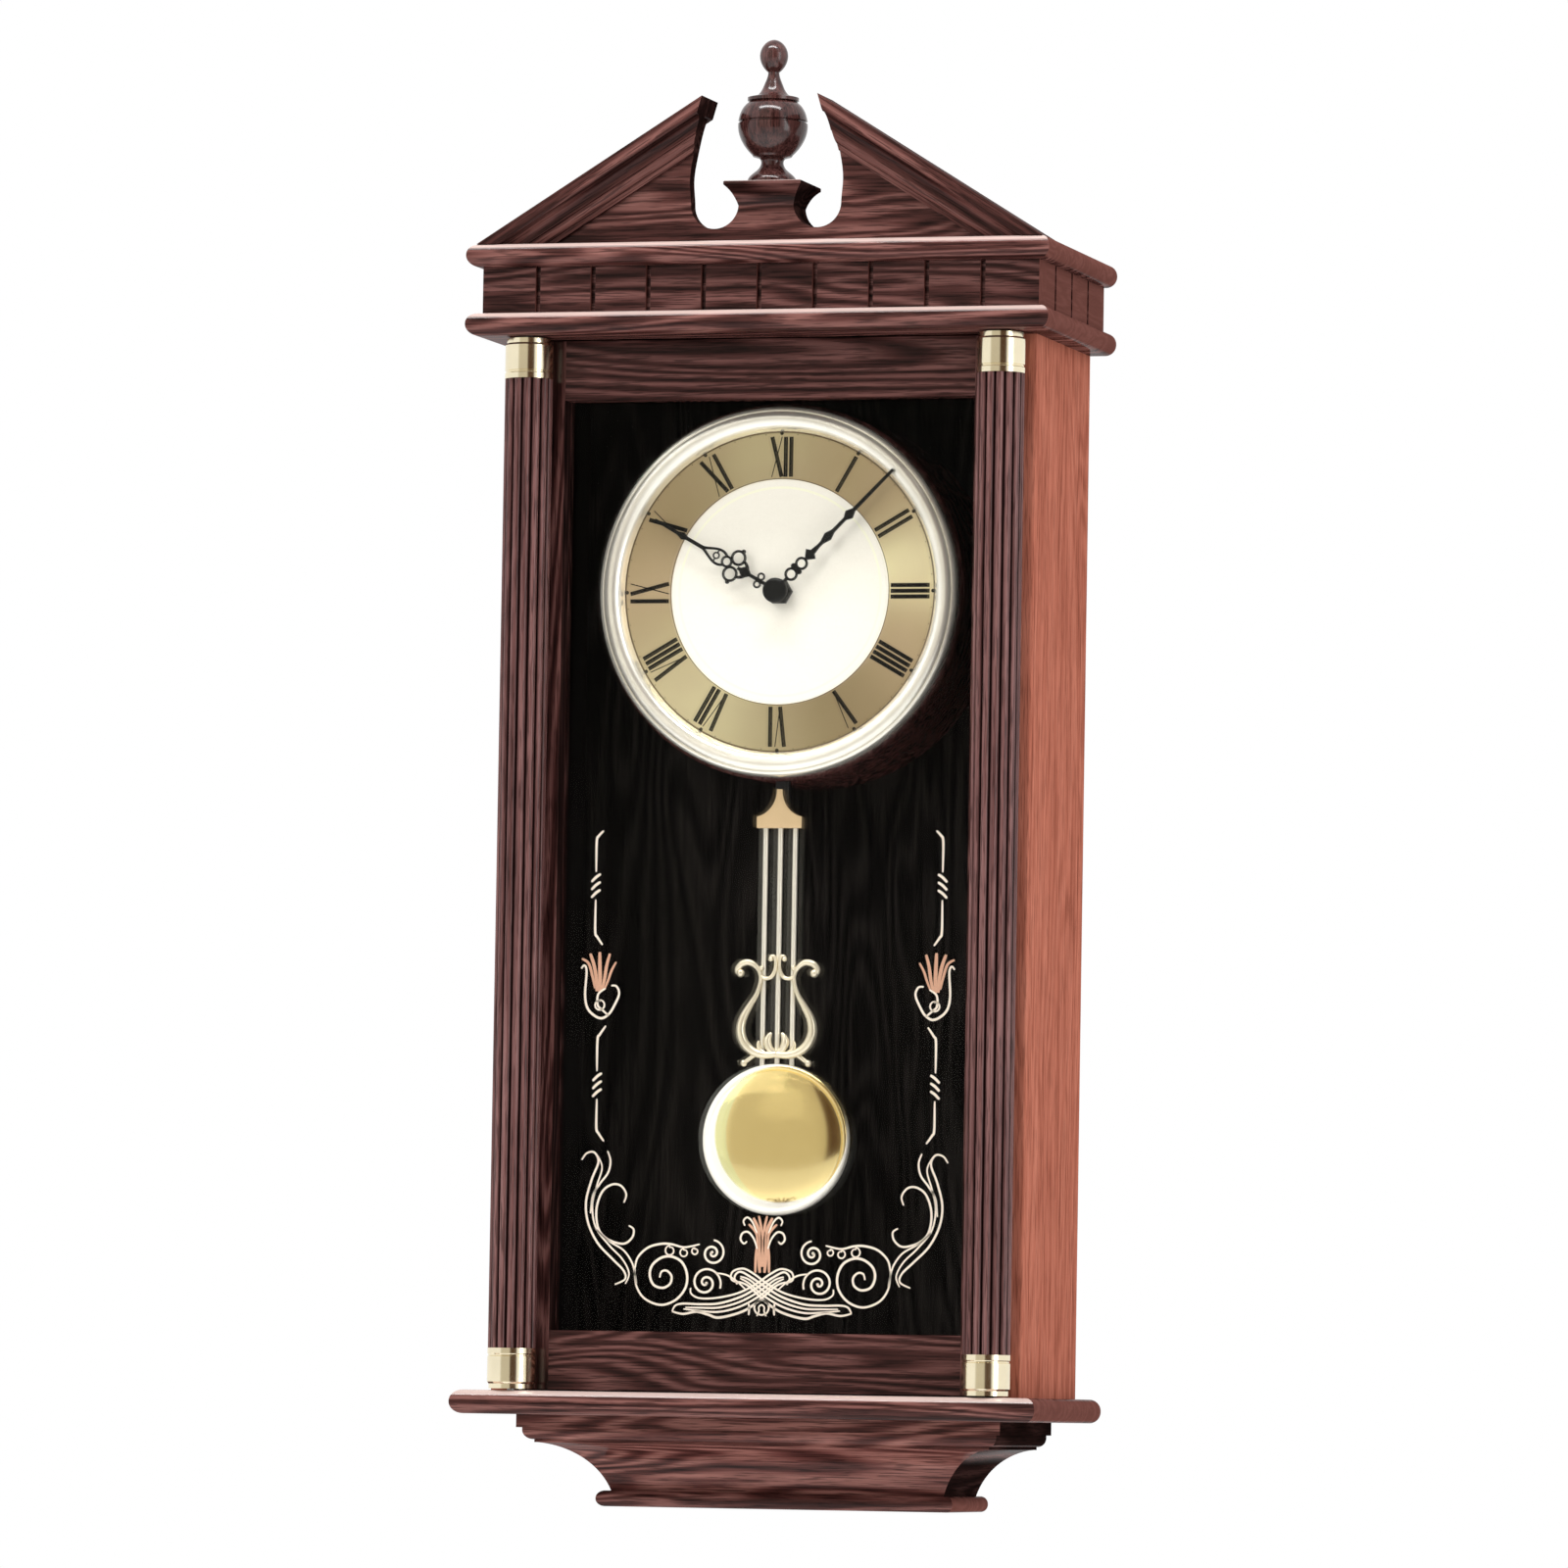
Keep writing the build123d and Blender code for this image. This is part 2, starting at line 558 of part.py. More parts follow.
with BuildPart() as movement_frame:
    inner_half, inner_low, inner_high = box_half - box_wall, box_bottom + box_wall, box_top - box_wall
    block(-box_half, box_half, box_front, box_back, box_bottom, box_top)
    fillet(movement_frame.edges().filter_by(Axis.Y), radius=3)
    cut = Mode.SUBTRACT
    block(-inner_half, inner_half, box_front + box_wall, bridge_front, inner_low, inner_high, mode=cut)
    block(-inner_half, inner_half, bridge_back, box_back, inner_low, inner_high, mode=cut)
    block(-inner_half, inner_half, bridge_back, box_back, tray_top, tray_top + 1.6)
    block(-inner_half, inner_half, -48, -46, inner_low, tray_top)
    rod(facing(box_front, 0, dial_z), post_radius, box_front - post_front)
    rod(facing(box_front + box_wall, 0, dial_z), post_bore, 20, mode=cut)
    rod(facing(bridge_back, 0, dial_z), arbor_radius + running, 2, mode=cut)
    rod(facing(bridge_back, -drive_distance, dial_z), drive_radius + running, 2, mode=cut)
    rod(facing(bridge_back, setting_x, dial_z + setting_z), setting_radius + running, 2, mode=cut)
    rod(facing(-69.5, motion_x, dial_z), stud_radius, -box_front - box_wall - 69.5 + 0.5)
save(movement_frame, "movement_frame")

battery_radius, battery_z, battery_y = 13.0, dial_z - 34.0, -33.0

with BuildPart() as batteries:
    for x in (-50.6, 0.8):
        rod(Plane(origin=(x, battery_y, battery_z), z_dir=(1, 0, 0)), battery_radius, 47.6)
        rims = batteries.edges().filter_by(GeomType.CIRCLE)
        fillet(rims.filter_by_position(Axis.X, x - 1, x + 48), radius=0.8)
        rod(Plane(origin=(x + 47.6, battery_y, battery_z), z_dir=(1, 0, 0)), 3.2, 1.6)
save(batteries, "batteries")

hatch_half, hatch_low, hatch_high = 51.0, dial_z - 46.5, dial_z - 21.5

with BuildPart() as movement_cover:
    block(-box_half, box_half, cover_front, cover_back, box_bottom, box_top)
    fillet(movement_cover.edges().filter_by(Axis.Y), radius=3)
    cut = Mode.SUBTRACT
    block(-hatch_half, hatch_half, cover_front, cover_back, hatch_low, hatch_high, mode=cut)
    rod(facing(cover_back, setting_x, dial_z + setting_z), setting_radius + running, 2, mode=cut)
    rod(facing(cover_back, volume_x, control_level), setting_radius + running, 2, mode=cut)
    rod(facing(cover_back, test_x, control_level), 1.5 + running, 2, mode=cut)
    slot_low, slot_high = control_level - 1.6, control_level + 1.6
    block(selector_x - 1.6, selector_x + 9.6, cover_front, cover_back, slot_low, slot_high, mode=cut)
    for k in range(-3, 4):
        half = 22 - 2.2 * abs(k)
        z = dial_z + 28 + 6 * k
        block(-half, half, cover_front, cover_back, z - 1, z + 1, mode=cut)
save(movement_cover, "movement_cover")

hatch_front = cover_back + 0.05  # the lid seats on the cover with a hair's gap

with BuildPart() as battery_cover:
    block(-54, 54, hatch_front, hatch_front + 1.8, hatch_low - 2, hatch_high + 1.5)
    fillet(battery_cover.edges().filter_by(Axis.Y), radius=2)
    gap = 0.3
    block(-hatch_half + gap, hatch_half - gap, cover_front, hatch_front, hatch_low + gap, hatch_high - gap)
    block(-8, 8, hatch_front + 0.8, hatch_front + 1.8, hatch_high - 6, hatch_high - 4, mode=Mode.SUBTRACT)
save(battery_cover, "battery_cover")

with BuildPart() as circuit_board:
    block(-inner_half, inner_half, -46, -44.4, dial_z + 2, dial_z + 55)
    for x, z, width, height in ((-40, 40, 14, 10), (38, 34, 10, 16), (-36, 14, 8, 8)):
        block(x - width / 2, x + width / 2, -48, -46, dial_z + z - height / 2, dial_z + z + height / 2)
save(circuit_board, "circuit_board")

with BuildPart() as step_motor:
    block(-drive_distance - 12, -drive_distance + 12, bridge_back, -50, dial_z - 9, dial_z + 9)
    fillet(step_motor.edges().filter_by(Axis.Y), radius=2)
    rod(facing(-58, -drive_distance, dial_z), drive_radius + running, 10, mode=Mode.SUBTRACT)
save(step_motor, "step_motor")

with BuildPart() as chime_speaker:
    rod(facing(cover_front, 0, dial_z + 28), 28, 5)
    with BuildSketch(facing(cover_front - 5, 0, dial_z + 28)):
        Circle(26)
    extrude(amount=8, taper=35)
    rod(facing(cover_front - 12, 0, dial_z + 28), 14, 8)
save(chime_speaker, "chime_speaker")

with BuildPart() as minute_arbor:
    rod(facing(bridge_back + 2, 0, dial_z), arbor_radius, 93.1 - 61)
    rod(facing(-93.1, 0, dial_z), 1.2, 1.5)
save(minute_arbor, "minute_arbor")

with BuildPart() as center_wheel:
    with BuildSketch(facing(-66.5, 0, dial_z)):
        gear(centre_teeth, train_module, 0, arbor_radius)
    extrude(amount=1.5)
    with BuildSketch(facing(-68, 0, dial_z)):
        sleeve(2.7, arbor_radius)
    extrude(amount=2.5)
    with BuildSketch(facing(-70.5, 0, dial_z)):
        gear(cannon_teeth, wheel_module, 0, arbor_radius)
    extrude(amount=2)
save(center_wheel, "center_wheel")

with BuildPart() as motion_wheel:
    with BuildSketch(facing(-70.5, motion_x, dial_z)):
        gear(motion_teeth, wheel_module, 180 + 180 / motion_teeth, stud_radius + running)
    extrude(amount=2)
    with BuildSketch(facing(-72.5, motion_x, dial_z)):
        sleeve(2.2, stud_radius + running)
    extrude(amount=5)
    with BuildSketch(facing(-77.5, motion_x, dial_z)):
        gear(motion_pinion_teeth, motion_module, 180, stud_radius + running)
    extrude(amount=2.5)
save(motion_wheel, "motion_wheel")

with BuildPart() as hour_wheel:
    with BuildSketch(facing(-78, 0, dial_z)):
        gear(hour_teeth, motion_module, 180 / hour_teeth, arbor_radius + running)
    extrude(amount=1.5)
    with BuildSketch(facing(-79.5, 0, dial_z)):
        sleeve(tube_radius, arbor_radius + running)
    extrude(amount=90.9 - 79.5)
save(hour_wheel, "hour_wheel")

with BuildPart() as drive_pinion:
    with BuildSketch(facing(-58.5, -drive_distance, dial_z)):
        RegularPolygon(radius=drive_radius, side_count=8)
    extrude(amount=7.5)
    with BuildSketch(facing(-66, -drive_distance, dial_z)):
        gear(drive_teeth, train_module, 180 / drive_teeth, 0)
    extrude(amount=2.5)
save(drive_pinion, "drive_pinion")

with BuildPart() as setting_knob:
    with BuildSketch(facing(-9, setting_x, dial_z + setting_z)):
        RegularPolygon(radius=7.5, side_count=24)
    extrude(amount=6.7)
    with BuildSketch(facing(-15.7, setting_x, dial_z + setting_z)):
        RegularPolygon(radius=setting_radius, side_count=12)
    extrude(amount=70.5 - 15.7)
    with BuildSketch(facing(-70.5, setting_x, dial_z + setting_z)):
        gear(cannon_teeth, wheel_module, setting_direction + 180, 0)
    extrude(amount=2)
save(setting_knob, "setting_knob")

with BuildPart() as volume_knob:
    with BuildSketch(facing(-11, volume_x, control_level)):
        RegularPolygon(radius=5.5, side_count=18)
    extrude(amount=4.7)
    rod(facing(-15.7, volume_x, control_level), setting_radius, 12)
    block(volume_x - 0.5, volume_x + 0.5, -12, -11, control_level, control_level + 6, mode=Mode.SUBTRACT)
save(volume_knob, "volume_knob")

with BuildPart() as chime_selector:
    x, z = selector_x, control_level
    block(x - 2.5, x + 2.5, -15.7, -13.7, z - 2.5, z + 2.5)
    block(x - 1.5, x + 1.5, -18.3, -15.7, z - 1.5, z + 1.5)
    block(x - 2.5, x + 2.5, -19.8, -18.3, z - 2.5, z + 2.5)
save(chime_selector, "chime_selector")

with BuildPart() as test_button:
    rod(facing(-11.6, test_x, control_level), 3.2, 2)
    rod(facing(-13.6, test_x, control_level), 1.5, 4.7)
    rod(facing(-18.3, test_x, control_level), 3, 2)
save(test_button, "test_button")


# ---- hands -------------------------------------------------------------------------------------------
def hand_plane(y, angle):
    """Plane that faces the front with its local y along a hand, angle degrees clockwise from twelve."""
    turn = radians(angle)
    return Plane(origin=(0, y, dial_z), x_dir=(cos(turn), 0, -sin(turn)), z_dir=(0, -1, 0))


def band(points, widths):
    """Sketches a curved strap along a line of points, with its full width at each of them."""
    left, right = [], []
    for k, (x, y) in enumerate(points):
        before, after = points[max(k - 1, 0)], points[min(k + 1, len(points) - 1)]
        dx, dy = after[0] - before[0], after[1] - before[1]
        scale = widths[k] / (2 * hypot(dx, dy))
        left.append((x - dy * scale, y + dx * scale))
        right.append((x + dy * scale, y - dx * scale))
    with BuildLine() as outline:
        Spline(*left)
        Line(left[-1], right[-1])
        Spline(*reversed(right))
        Line(right[0], left[0])
    make_face(outline.edges())


def ring(x, y, outer, inner):
    """Sketches a ring in a scrollwork outline."""
    with Locations((x, y)):
        Circle(outer)
    with Locations((x, y)):
        Circle(inner, mode=Mode.SUBTRACT)


def half_leaf(*corners):
    """Sketches a shape that is the same on both sides of the hand from its right-hand corners."""
    left = [(-x, y) for x, y in reversed(corners) if x > 0]
    Polygon(*corners, *left, align=None)


with BuildPart() as hour_hand:
    with BuildSketch(hand_plane(-90.4, hour_angle)):
        half_leaf((0.9, 3), (0.9, 24))
        for x in (-2.2, 2.2):
            ring(x, 10.8, 2.1, 1.1)
        half_leaf((0, 15.5), (3.5, 19.5), (0, 23.5))
        for side in (-1, 1):
            band([(side * 2.2, 19.2), (side * 3.6, 20.6), (side * 4.6, 22.8)], [2.0, 1.6, 1.4])
            stem = [(side * 2.3, 31.6), (side * 3.7, 35.5), (side * 2.0, 41.0), (0, 46)]
            band(stem, [1.4, 1.3, 1.3, 1.6])
        for x in (-4.6, 4.6):
            ring(x, 26.0, 4.1, 2.8)
            with Locations((x * 1.9, 25.2)):
                Circle(1.1)
        ring(0, 30.6, 3.1, 1.9)
        half_leaf((3.0, 36.6), (3.0, 37.4))
        ring(0, 37.0, 1.9, 1.1)
        half_leaf((1.0, 44), (0.95, 55), (2.0, 57.5), (0.95, 60.5), (0.7, hour_length))
        Circle(6.4)
        Circle(tube_radius, mode=Mode.SUBTRACT)
    extrude(amount=0.5)
save(hour_hand, "hour_hand")

with BuildPart() as minute_hand:
    with BuildSketch(hand_plane(-93.1, minute_angle)):
        half_leaf((0.9, 3), (0.9, 9))
        ring(0, 11.6, 3.5, 2.2)
        ring(0, 19.2, 3.4, 2.1)
        with Locations((-2.1, 15.4), (2.1, 15.4)):
            Circle(1.4)
        half_leaf((0.8, 14.0), (0.8, 17.0))
        half_leaf((0, 21.5), (1.6, 23.5), (3.6, 26.0), (1.5, 27.4), (0.95, 31.5), (0.95, 35.0))
        half_leaf((0.95, 34.0), (2.4, 38.4), (1.0, 42.5), (0.95, 52.0))
        half_leaf((0.95, 51.0), (2.7, 54.0), (1.05, 57.5), (0.8, minute_length))
        Circle(6.4)
        Circle(1.2, mode=Mode.SUBTRACT)
    extrude(amount=0.5)
    rod(facing(-93.6, 0, dial_z), 6.4, 2.4)
    fillet(minute_hand.faces().sort_by(Axis.Y)[0].edges(), radius=1.8)
    rod(facing(-93.6, 0, dial_z), 1.2, 1, mode=Mode.SUBTRACT)
save(minute_hand, "minute_hand")

# ---- pendulum ----------------------------------------------------------------------------------------
pin, coil_z = 1.0, pivot_z - 15.0

with BuildPart() as pendulum_bracket:
    block(-9, 9, -80, -62, box_bottom - 2, box_bottom)
    block(-9, 9, -80, -78, pivot_z - 5, box_bottom - 2)
    block(-9, 9, -64, -62, pivot_z - 21, box_bottom - 2)
    rod(facing(-64, 0, pivot_z), pin, 14)
    rod(facing(lever_front - 0.3, 0, pivot_z), 2.2, 78 + lever_front - 0.3)
    rod(facing(lever_back + 1.3, 0, pivot_z), 2.2, 1)
save(pendulum_bracket, "pendulum_bracket")

with BuildPart() as pendulum_coil:
    rod(facing(-64, 0, coil_z), 6, 5)
    rod(facing(-64, 0, coil_z), 2, 5, mode=Mode.SUBTRACT)
save(pendulum_coil, "pendulum_coil")

with BuildPart() as pendulum_lever:
    with BuildSketch(facing(lever_back, 0, pivot_z)):
        Circle(4.5)
        with Locations((0, -20)):
            Rectangle(7, 40)
        with Locations((0, -15)):
            Circle(5.5)
        Circle(pin + running, mode=Mode.SUBTRACT)
    extrude(amount=lever_back - lever_front)
    rod(facing(-69.5, 0, coil_z), 4.5, 2)
save(pendulum_lever, "pendulum_lever")

header_front = -79.2

with BuildPart() as pendulum_header:
    with BuildSketch(facing(lever_front)):
        with BuildLine():
            Line((0, level(header_top + 2.6)), (1.5, level(header_top + 2.6)))
            peak = (1.5, level(header_top + 2.6))
            shoulder = [peak, (2.6, level(358.0)), (5.8, level(353.4)), (11.8, level(350.2))]
            Spline(*shoulder)
            Polyline(shoulder[-1], (11.8, level(header_bottom)), (0, level(header_bottom)))
            Line((0, level(header_bottom)), (0, level(header_top + 2.6)))
        make_face()
        mirror(about=Plane.YZ)
    extrude(amount=lever_front - header_front)
    for x in (-rod_spacing, 0, rod_spacing):
        rod(lying(level(header_bottom), x, rod_y), rod_radius, 4.6, mode=Mode.SUBTRACT)
save(pendulum_header, "pendulum_header")

rod_foot = level(216.0)

with BuildPart() as pendulum_rods:
    for x in (-rod_spacing, 0, rod_spacing):
        rod(lying(rod_foot, x, rod_y), rod_radius, level(header_bottom + 4.6) - rod_foot)
save(pendulum_rods, "pendulum_rods")

arm = [
    (0, 229.6), (6, 228.8), (12.5, 230.6), (17.6, 235.6), (19.2, 242.5), (16.6, 250.5), (11.8, 258.5),
    (9.4, 266.0), (11.2, 272.8), (15.6, 276.9), (20.6, 276.2), (22.6, 272.6), (20.4, 269.9),
]
arm_widths = [3.6, 3.6, 4.0, 4.6, 4.2, 3.0, 2.2, 2.0, 2.2, 2.4, 2.4, 2.2, 2.2]
curl = [(9.6, 268.4), (6.6, 269.6), (3.4, 268.0), (1.4, 271.6), (1.2, 277.0), (3.6, 279.6), (5.6, 277.8)]

with BuildPart() as pendulum_lyre:
    with BuildSketch(facing(-76.6, 0, level(0))):
        band(arm, arm_widths)
        band(curl, [2.2, 1.9, 2.0, 1.9, 1.8, 1.9, 1.8])
        band([(12.0, 229.2), (15.4, 226.6), (18.3, 225.0)], [2.4, 2.0, 2.4])
        band([(0.6, 231.0), (3.8, 233.8), (4.2, 238.6), (2.4, 241.6)], [3.0, 3.4, 3.0, 1.8])
        for x, z, radius in ((20.0, 271.0, 1.9), (5.0, 277.2, 1.4), (7.4, 270.6, 1.7), (18.3, 224.9, 1.6)):
            with Locations((x, z)):
                Circle(radius)
        mirror(about=Plane.YZ)
        with Locations((0, 231.5)):
            Rectangle(5, 4)
    extrude(amount=2.6)
    for x in (-rod_spacing, 0, rod_spacing):
        rod(lying(rod_foot, x, rod_y), rod_radius, 100, mode=Mode.SUBTRACT)
save(pendulum_lyre, "pendulum_lyre")

with BuildPart() as pendulum_bob:
    with BuildSketch(Plane(origin=(0, 0, bob_z), x_dir=(1, 0, 0), z_dir=(0, 0, 1))):
        with BuildLine():
            Polyline((0, -82), (0, -72.4), (36.9, -72.4), (bob_radius, -73.8), (bob_radius, -76.6))
            Spline((bob_radius, -76.6), (37.6, -77.9), (36.3, -78.3), (35.4, -77.8))
            Polyline((35.4, -77.8), (35.0, -77.4), (34.5, -77.5))
            Spline((34.5, -77.5), (24.0, -80.3), (12.0, -81.6), (0, -82), tangents=((-0.9, -0.4), (-1, 0)))
        make_face()
    revolve(axis=Axis((0, 0, bob_z), (0, 1, 0)))
    with BuildSketch(Plane(origin=(0, 0, bob_z), x_dir=(1, 0, 0), z_dir=(0, 0, 1))):
        Polygon((0, -72), (33.0, -72), (33.0, -76.2), (20, -79), (0, -80.4), align=None)
    revolve(axis=Axis((0, 0, bob_z), (0, 1, 0)), mode=Mode.SUBTRACT)
    for x in (-rod_spacing, 0, rod_spacing):
        rod(lying(rod_foot, x, rod_y), rod_radius, 20, mode=Mode.SUBTRACT)
save(pendulum_bob, "pendulum_bob")
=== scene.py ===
"""Looks of the schoolhouse wall clock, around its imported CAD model. Metres, in the model's own frame."""

import math

import bpy
from mathutils import Matrix, Vector


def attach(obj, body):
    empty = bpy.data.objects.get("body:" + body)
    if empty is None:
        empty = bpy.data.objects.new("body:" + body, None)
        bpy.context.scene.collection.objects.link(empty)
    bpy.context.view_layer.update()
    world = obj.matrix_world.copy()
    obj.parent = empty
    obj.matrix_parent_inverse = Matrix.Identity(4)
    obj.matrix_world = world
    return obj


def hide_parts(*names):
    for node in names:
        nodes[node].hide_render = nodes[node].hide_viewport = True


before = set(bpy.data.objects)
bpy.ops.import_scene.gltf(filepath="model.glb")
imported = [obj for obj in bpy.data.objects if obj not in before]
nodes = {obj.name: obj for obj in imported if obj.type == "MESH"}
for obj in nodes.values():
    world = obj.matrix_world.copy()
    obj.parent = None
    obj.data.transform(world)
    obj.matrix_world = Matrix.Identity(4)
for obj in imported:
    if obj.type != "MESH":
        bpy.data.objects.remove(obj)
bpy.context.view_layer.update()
scene = bpy.context.scene
MM = 0.001
HOOK = 568.0  # height of the origin above the underside of the foot, mm
DIAL_Z = (464.0 - HOOK) * MM
BOB_HEIGHT = 186.7
COLUMN_X, COLUMN_Y = 0.1237, -0.1213  # axis of the right-hand column
GROOVE_R, CREST_R = 0.0106, 0.0119  # from that axis to the foot and the top of a reed


def height(h):
    """Z in metres of a height in mm above the underside of the foot."""
    return (h - HOOK) * MM


# ---- node helpers ------------------------------------------------------------------------------------
class Graph:
    """Short ways to add nodes to a node tree."""

    def __init__(self, tree):
        self.tree = tree

    def node(self, kind, **settings):
        made = self.tree.nodes.new(kind)
        for key, value in settings.items():
            setattr(made, key, value)
        return made

    def link(self, source, target):
        self.tree.links.new(source, target)

    def math(self, operation, *values):
        made = self.node("ShaderNodeMath", operation=operation)
        for value, socket in zip(values, made.inputs):
            if hasattr(value, "links"):
                self.link(value, socket)
            else:
                socket.default_value = value
        return made.outputs[0]

    def parts(self, vector):
        made = self.node("ShaderNodeSeparateXYZ")
        self.link(vector, made.inputs[0])
        return made.outputs[0], made.outputs[1], made.outputs[2]

    def joined(self, *values):
        made = self.node("ShaderNodeCombineXYZ")
        for value, socket in zip(values, made.inputs):
            self.link(value, socket)
        return made.outputs[0]

    def coordinates(self, scale=(1, 1, 1), location=(0, 0, 0), rotation=(0, 0, 0), fold=False):
        """Object coordinates in metres, turned, moved and scaled. fold mirrors them about the middle."""
        out = self.node("ShaderNodeTexCoord").outputs["Object"]
        if fold:
            x, y, z = self.parts(out)
            out = self.joined(self.math("ABSOLUTE", x), y, z)
        if any(rotation):
            turn = self.node("ShaderNodeMapping")
            turn.inputs["Rotation"].default_value = rotation
            self.link(out, turn.inputs[0])
            out = turn.outputs[0]
        mapping = self.node("ShaderNodeMapping")
        mapping.inputs["Location"].default_value = location
        mapping.inputs["Scale"].default_value = scale
        self.link(out, mapping.inputs[0])
        return mapping.outputs[0]

    def noise(self, vector, scale, detail=3.0, roughness=0.55, distortion=0.0):
        made = self.node("ShaderNodeTexNoise")
        made.inputs["Scale"].default_value = scale
        made.inputs["Detail"].default_value = detail
        made.inputs["Roughness"].default_value = roughness
        made.inputs["Distortion"].default_value = distortion
        self.link(vector, made.inputs["Vector"])
        return made.outputs["Fac"]

    def ramp(self, value, *stops):
        """Colour ramp of (place, colour) stops; a number stands for a grey."""
        made = self.node("ShaderNodeValToRGB")
        elements = made.color_ramp.elements
        for k, (place, colour) in enumerate(stops):
            if isinstance(colour, (int, float)):
                colour = (colour, colour, colour)
            element = elements[k] if k < 2 else elements.new(place)
            element.position = place
            element.color = (*colour, 1)
        self.link(value, made.inputs[0])
        return made.outputs[0]

    def mix(self, factor, first, second):
        made = self.node("ShaderNodeMix", data_type="RGBA")
        for value, socket in ((factor, made.inputs[0]), (first, made.inputs[6]), (second, made.inputs[7])):
            if hasattr(value, "links"):
                self.link(value, socket)
            elif socket.type == "RGBA":
                socket.default_value = (*value, 1)
            else:
                socket.default_value = value
        return made.outputs[2]

    def spread(self, value, low, high):
        """Maps 0..1 onto low..high."""
        made = self.node("ShaderNodeMapRange")
        made.inputs["To Min"].default_value = low
        made.inputs["To Max"].default_value = high
        self.link(value, made.inputs["Value"])
        return made.outputs["Result"]

    def rise(self, value, low, high):
        """0 below low, 1 above high, eased between."""
        made = self.node("ShaderNodeMapRange", interpolation_type="SMOOTHSTEP")
        made.inputs["From Min"].default_value = low
        made.inputs["From Max"].default_value = high
        self.link(value, made.inputs["Value"])
        return made.outputs["Result"]

    def length(self, first, second):
        squares = self.math("MULTIPLY", first, first), self.math("MULTIPLY", second, second)
        return self.math("SQRT", self.math("ADD", *squares))


class Shader(Graph):
    """A material under construction: one Principled shader and the nodes that feed it."""

    def __init__(self, name, **constants):
        self.material = bpy.data.materials.new(name)
        self.material.use_nodes = True
        super().__init__(self.material.node_tree)
        self.bsdf = self.tree.nodes["Principled BSDF"]
        for key, value in constants.items():
            self.bsdf.inputs[key.replace("_", " ")].default_value = value

    def bump(self, value, strength, distance):
        made = self.node("ShaderNodeBump")
        made.inputs["Strength"].default_value = strength
        made.inputs["Distance"].default_value = distance
        self.link(value, made.inputs["Height"])
        self.link(made.outputs["Normal"], self.bsdf.inputs["Normal"])

    def set(self, socket, value):
        self.link(value, self.bsdf.inputs[socket])


# ---- materials: each wood has a dark, a middle and a light tone --------------------------------------
def wood(name, axis, tones, seed=0.0, pore=0.6, gloss=0.36, turn=0.0, fold=False, coat=0.25, edge=None,
         ends=None, figured=0.5, haze=0.14, reeded=False, inner=0, painted_edge_highlight=0.0):
    """Stained oak with its grain along an axis: growth rings, fine streaks and open dark pores.

    coat and edge polish the upright faces and the front edges that look up, whose colour can also be
    lightened towards pale pink as a painted highlight.
    ends colours the faces that look sideways (near black is painted shade), reeded paints shade between the
    reeds of a column, and inner is the sign of the x normal of a face inside the case, painted near black
    as shade.
    """
    made = Shader(name, Coat_Roughness=haze, Specular_IOR_Level=0.0)
    long = "xyz".index(axis)

    def along(stretch, across):
        scale = [across] * 3
        scale[long] = stretch
        return made.coordinates(tuple(scale), (seed, seed * 1.7, seed * 0.6), (0, turn, 0), fold)

    field = made.noise(along(2.6, 20.0), 1.0, 2.0, 0.5, 0.5)
    contour = made.math("SINE", made.math("MULTIPLY", field, RINGS * 2 * math.pi))
    contour = made.math("MULTIPLY_ADD", contour, 0.5, 0.5)
    streaks = made.noise(along(9.0, 420.0), 1.0, 5.0, 0.65, 0.15)
    streaks = made.ramp(streaks, (0.30, 0.0), (0.70, 1.0))
    pores = made.noise(along(60.0, 1300.0), 1.0, 2.0, 0.5, 0.0)
    broad = made.ramp(made.noise(along(1.5, 14.0), 1.0, 2.0, 0.5), (0.3, 0.0), (0.7, 1.0))
    tone = made.mix(figured, made.mix(0.25, streaks, broad), contour)
    dark, mid, light = tones
    colour = made.ramp(tone, (0.10, dark), (0.48, mid), (0.92, light))
    dashes = made.ramp(pores, (0.38, 0.0), (0.50, 1.0))
    colour = made.mix(made.spread(dashes, pore, 0.0), colour, tuple(0.3 * c for c in dark))
    x, y, z = made.parts(made.node("ShaderNodeTexCoord").outputs["Normal"])
    sideways = made.rise(made.math("ABSOLUTE", x), 0.35, 0.65)
    frontward = made.math("MULTIPLY", y, -1.0)
    arris = made.math("MULTIPLY", made.rise(z, 0.45, 0.70), made.rise(frontward, 0.05, 0.2))
    polish = made.spread(arris, coat, coat if edge is None else edge)
    # upward front edges lightened towards pale pink: a painted highlight along the polished arrises
    if painted_edge_highlight:
        colour = made.mix(made.spread(arris, 0.0, painted_edge_highlight), colour, PAINTED_EDGE_PINK)
    # sideways faces take the given colour and lose their polish; the near black one is painted shade on
    # reveals, returns and ends
    if ends:
        colour = made.mix(made.spread(sideways, 0.0, 0.8), colour, ends)
        polish = made.math("MULTIPLY", polish, made.spread(sideways, 1.0, 0.0))
    # faces inside the case are painted near black: painted shade inside the case
    if inner:
        colour = made.mix(made.rise(made.math("MULTIPLY", x, inner), 0.5, 0.9), colour, PAINTED_SHADE_BLACK[1])
    # between the reeds the colour is darkened and the polish dropped: painted shade in the grooves
    if reeded:
        x, y, z = made.parts(made.coordinates(location=(-COLUMN_X, -COLUMN_Y, 0), fold=True))
        crest = made.rise(made.length(x, y), GROOVE_R, CREST_R)
        colour = made.mix(crest, REED_GROOVE_SHADE, colour)
        polish = made.math("MULTIPLY", polish, crest)
    made.set("Base Color", colour)
    made.set("Coat Weight", polish)
    made.set("Roughness", made.spread(streaks, gloss + 0.12, gloss - 0.04))
    made.bump(made.mix(0.4, dashes, streaks), 0.35, 0.00025)
    return made.material


